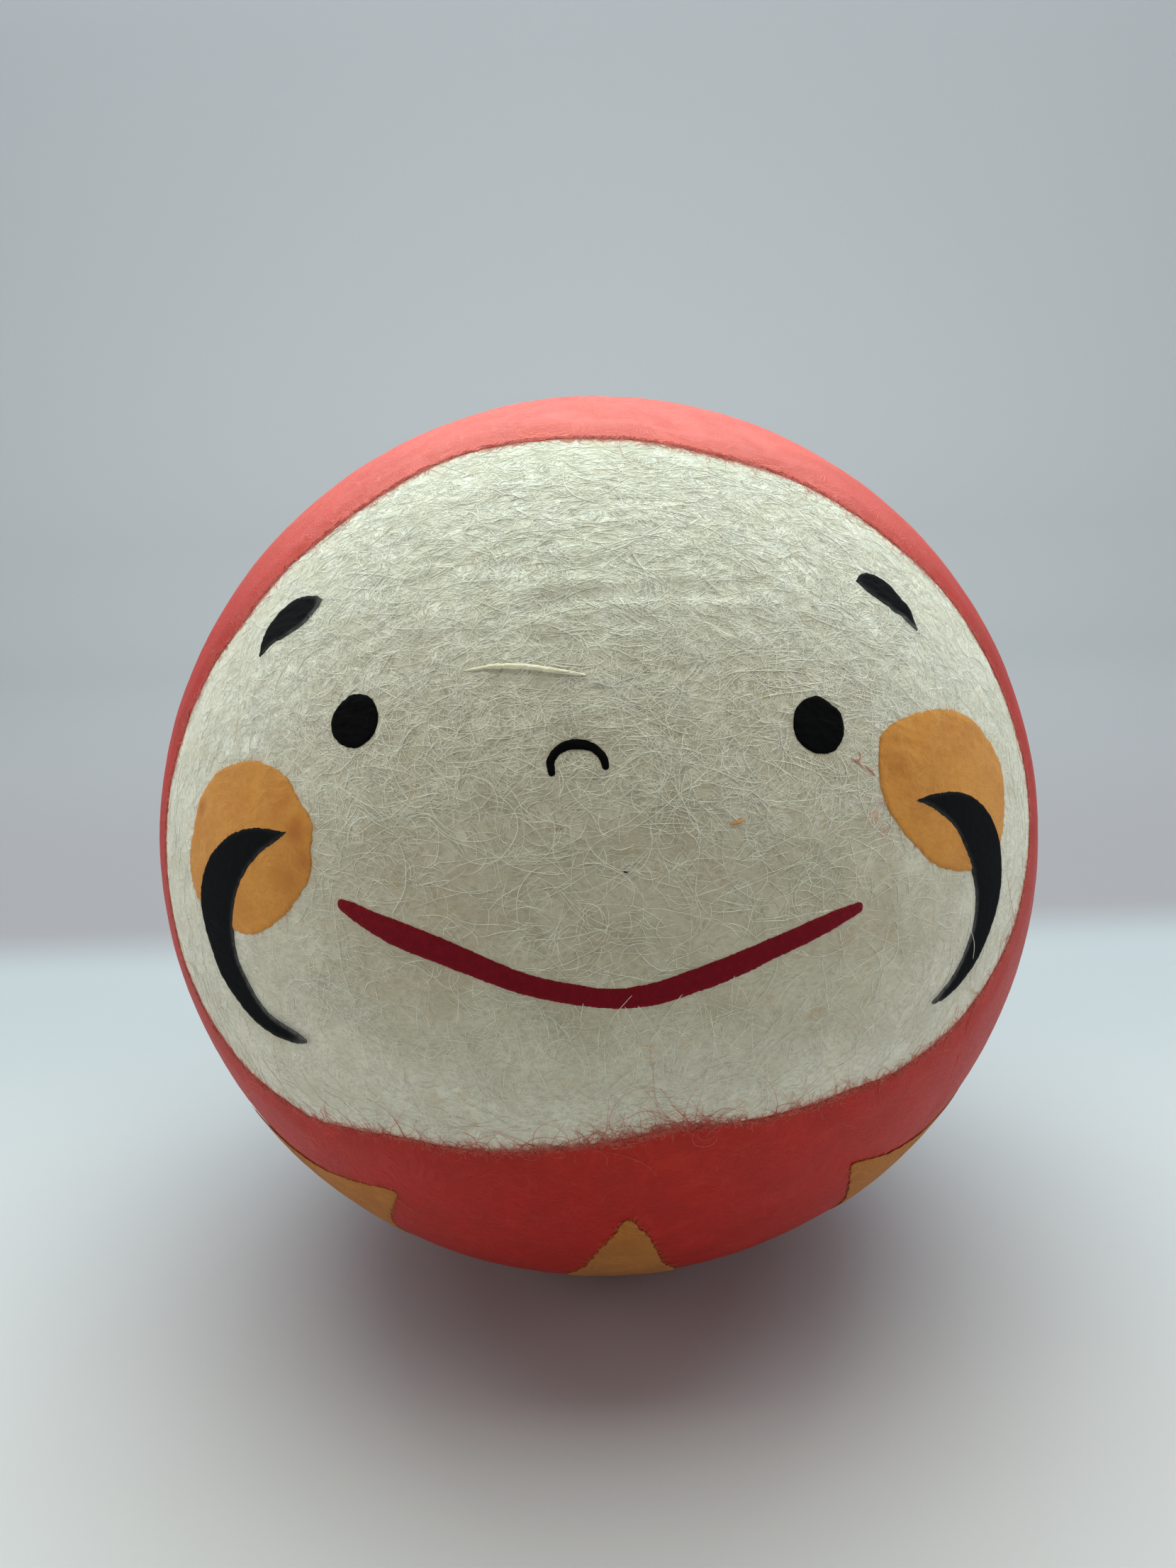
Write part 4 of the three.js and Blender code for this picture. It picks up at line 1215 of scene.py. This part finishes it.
CARD = plain("card_grey_brown", (0.42, 0.33, 0.21), (0.34, 0.26, 0.16), 260, 0.9, 0.5)
dress(foot(), CARD, ["base_disc"])


# ------------------------------------------------------------------ hidden structure

PULP = plain("papier_mache_pulp", (0.50, 0.44, 0.34), (0.40, 0.34, 0.26), 220, 0.92, 0.8)
TAPE = plain("joint_tape_paper", (0.74, 0.69, 0.58), (0.66, 0.61, 0.50), 500, 0.9, 0.4, (1, 0.3, 1))
CLAY = plain("dried_clay", (0.33, 0.20, 0.13), (0.25, 0.15, 0.10), 160, 0.95, 0.9)
for node, material in (("shell_front", PULP), ("shell_back", PULP), ("seam_tape", TAPE), ("clay_weight", CLAY)):
    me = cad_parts[node].data
    me.materials.clear()
    me.materials.append(material)


# ------------------------------------------------------------------ stage and light

def studio_material():
    """Pale paper sweep, greyer from under the doll backwards: that grey is painted shade, darkest just behind the
    doll.
    """
    m, nt, b = start_material("studio_pale")
    tc = nt.nodes.new("ShaderNodeTexCoord")
    sep = nt.nodes.new("ShaderNodeSeparateXYZ")
    link(nt, tc.outputs["Object"], sep.inputs[0])
    n = noise_node(nt, tc.outputs["Object"], 6.0, 2.0, 0.5)
    near = mix(nt, ramp(nt, n, 0.3, 0.7), FLOOR_NEAR, tuple(c * 0.985 for c in FLOOR_NEAR))
    # painted shade: the floor turns darker grey from under the doll backwards
    near = mix(nt, ramp(nt, sep.outputs["Y"], -0.06, 0.07), near, FLOOR_BACK)
    far = mix(nt, ramp(nt, sep.outputs["Y"], 0.10, 0.80), FLOOR_FAR, WALL_TONE)
    link(nt, mix(nt, ramp(nt, sep.outputs["Y"], 0.070, 0.098), near, far), b.inputs["Base Color"])
    b.inputs["Roughness"].default_value = 0.9
    b.inputs["Specular IOR Level"].default_value = 0.2
    return m


FLOOR_NEAR = (0.53, 0.52, 0.54)
# FLOOR_BACK and FLOOR_FAR are painted shade on the floor round and behind the doll
FLOOR_BACK = (0.315, 0.325, 0.345)
FLOOR_FAR = (0.225, 0.205, 0.220)
WALL_TONE = (0.66, 0.68, 0.70)
SWEEP_R, WALL_Y = 0.40, 0.85
pts = [(-1.2, 0.0)] + [(y / 100, 0.0) for y in range(-20, 46, 5)]
pts += [(WALL_Y - SWEEP_R + SWEEP_R * math.sin(k / 24 * math.pi / 2), SWEEP_R - SWEEP_R * math.cos(k / 24 * math.pi / 2)) for k in range(1, 25)]
pts += [(WALL_Y, 1.5)]
verts = [(x, y, z) for (y, z) in pts for x in (-1.6, 1.6)]
faces = [(2 * i, 2 * i + 1, 2 * i + 3, 2 * i + 2) for i in range(len(pts) - 1)]
me = bpy.data.meshes.new("studio_sweep")
me.from_pydata(verts, [], faces)
me.update()
for p in me.polygons:
    p.use_smooth = True
sweep = bpy.data.objects.new("studio_sweep", me)
bpy.context.scene.collection.objects.link(sweep)
me.materials.append(studio_material())

world = bpy.data.worlds.new("world")
bpy.context.scene.world = world
world.use_nodes = True
wn = world.node_tree
bg = wn.nodes["Background"]
bg.inputs["Color"].default_value = (0.86, 0.95, 1.0, 1)
bg.inputs["Strength"].default_value = 0.035


def area(name, loc, target, size, power, color=(1, 1, 1)):
    d = bpy.data.lights.new(name, "AREA")
    d.shape = "RECTANGLE"
    d.size, d.size_y = size
    d.energy = power
    d.color = color
    o = bpy.data.objects.new(name, d)
    bpy.context.scene.collection.objects.link(o)
    o.location = loc
    o.visible_camera = False
    o.rotation_euler = (Vector(target) - Vector(loc)).to_track_quat("-Z", "Y").to_euler()
    return o


area("light_top", (0.0, 0.0, 0.45), (0, 0, 0.04), (0.50, 0.30), 1.65, (0.95, 1.0, 0.86))
area("light_top_back", (0.0, 0.22, 0.36), (0, 0, 0.06), (0.62, 0.16), 1.95, (0.77, 0.97, 1.0))
area("light_top_left", (-0.30, 0.05, 0.34), (0, 0, 0.06), (0.20, 0.20), 0.26, (0.68, 0.93, 1.0))
area("light_top_right", (0.30, 0.05, 0.34), (0, 0, 0.06), (0.20, 0.20), 0.34, (0.72, 0.93, 1.0))
area("light_left", (-0.45, 0.0, 0.12), (0, 0, 0.05), (0.25, 0.25), 0.64, (1.0, 0.93, 0.90))
area("light_right", (0.45, 0.0, 0.12), (0, 0, 0.05), (0.25, 0.25), 0.56, (1.0, 0.95, 0.96))
area("light_low", (0.0, -0.35, 0.06), (0, 0, 0.03), (0.50, 0.10), 0.235, (1.0, 0.96, 0.80))
area("light_backdrop", (0.0, 0.42, 0.80), (0, 0.85, 0.22), (2.40, 0.20), 6.5, (0.90, 0.97, 1.0))

bpy.context.scene.view_settings.view_transform = "Standard"
bpy.context.scene.view_settings.look = "None"
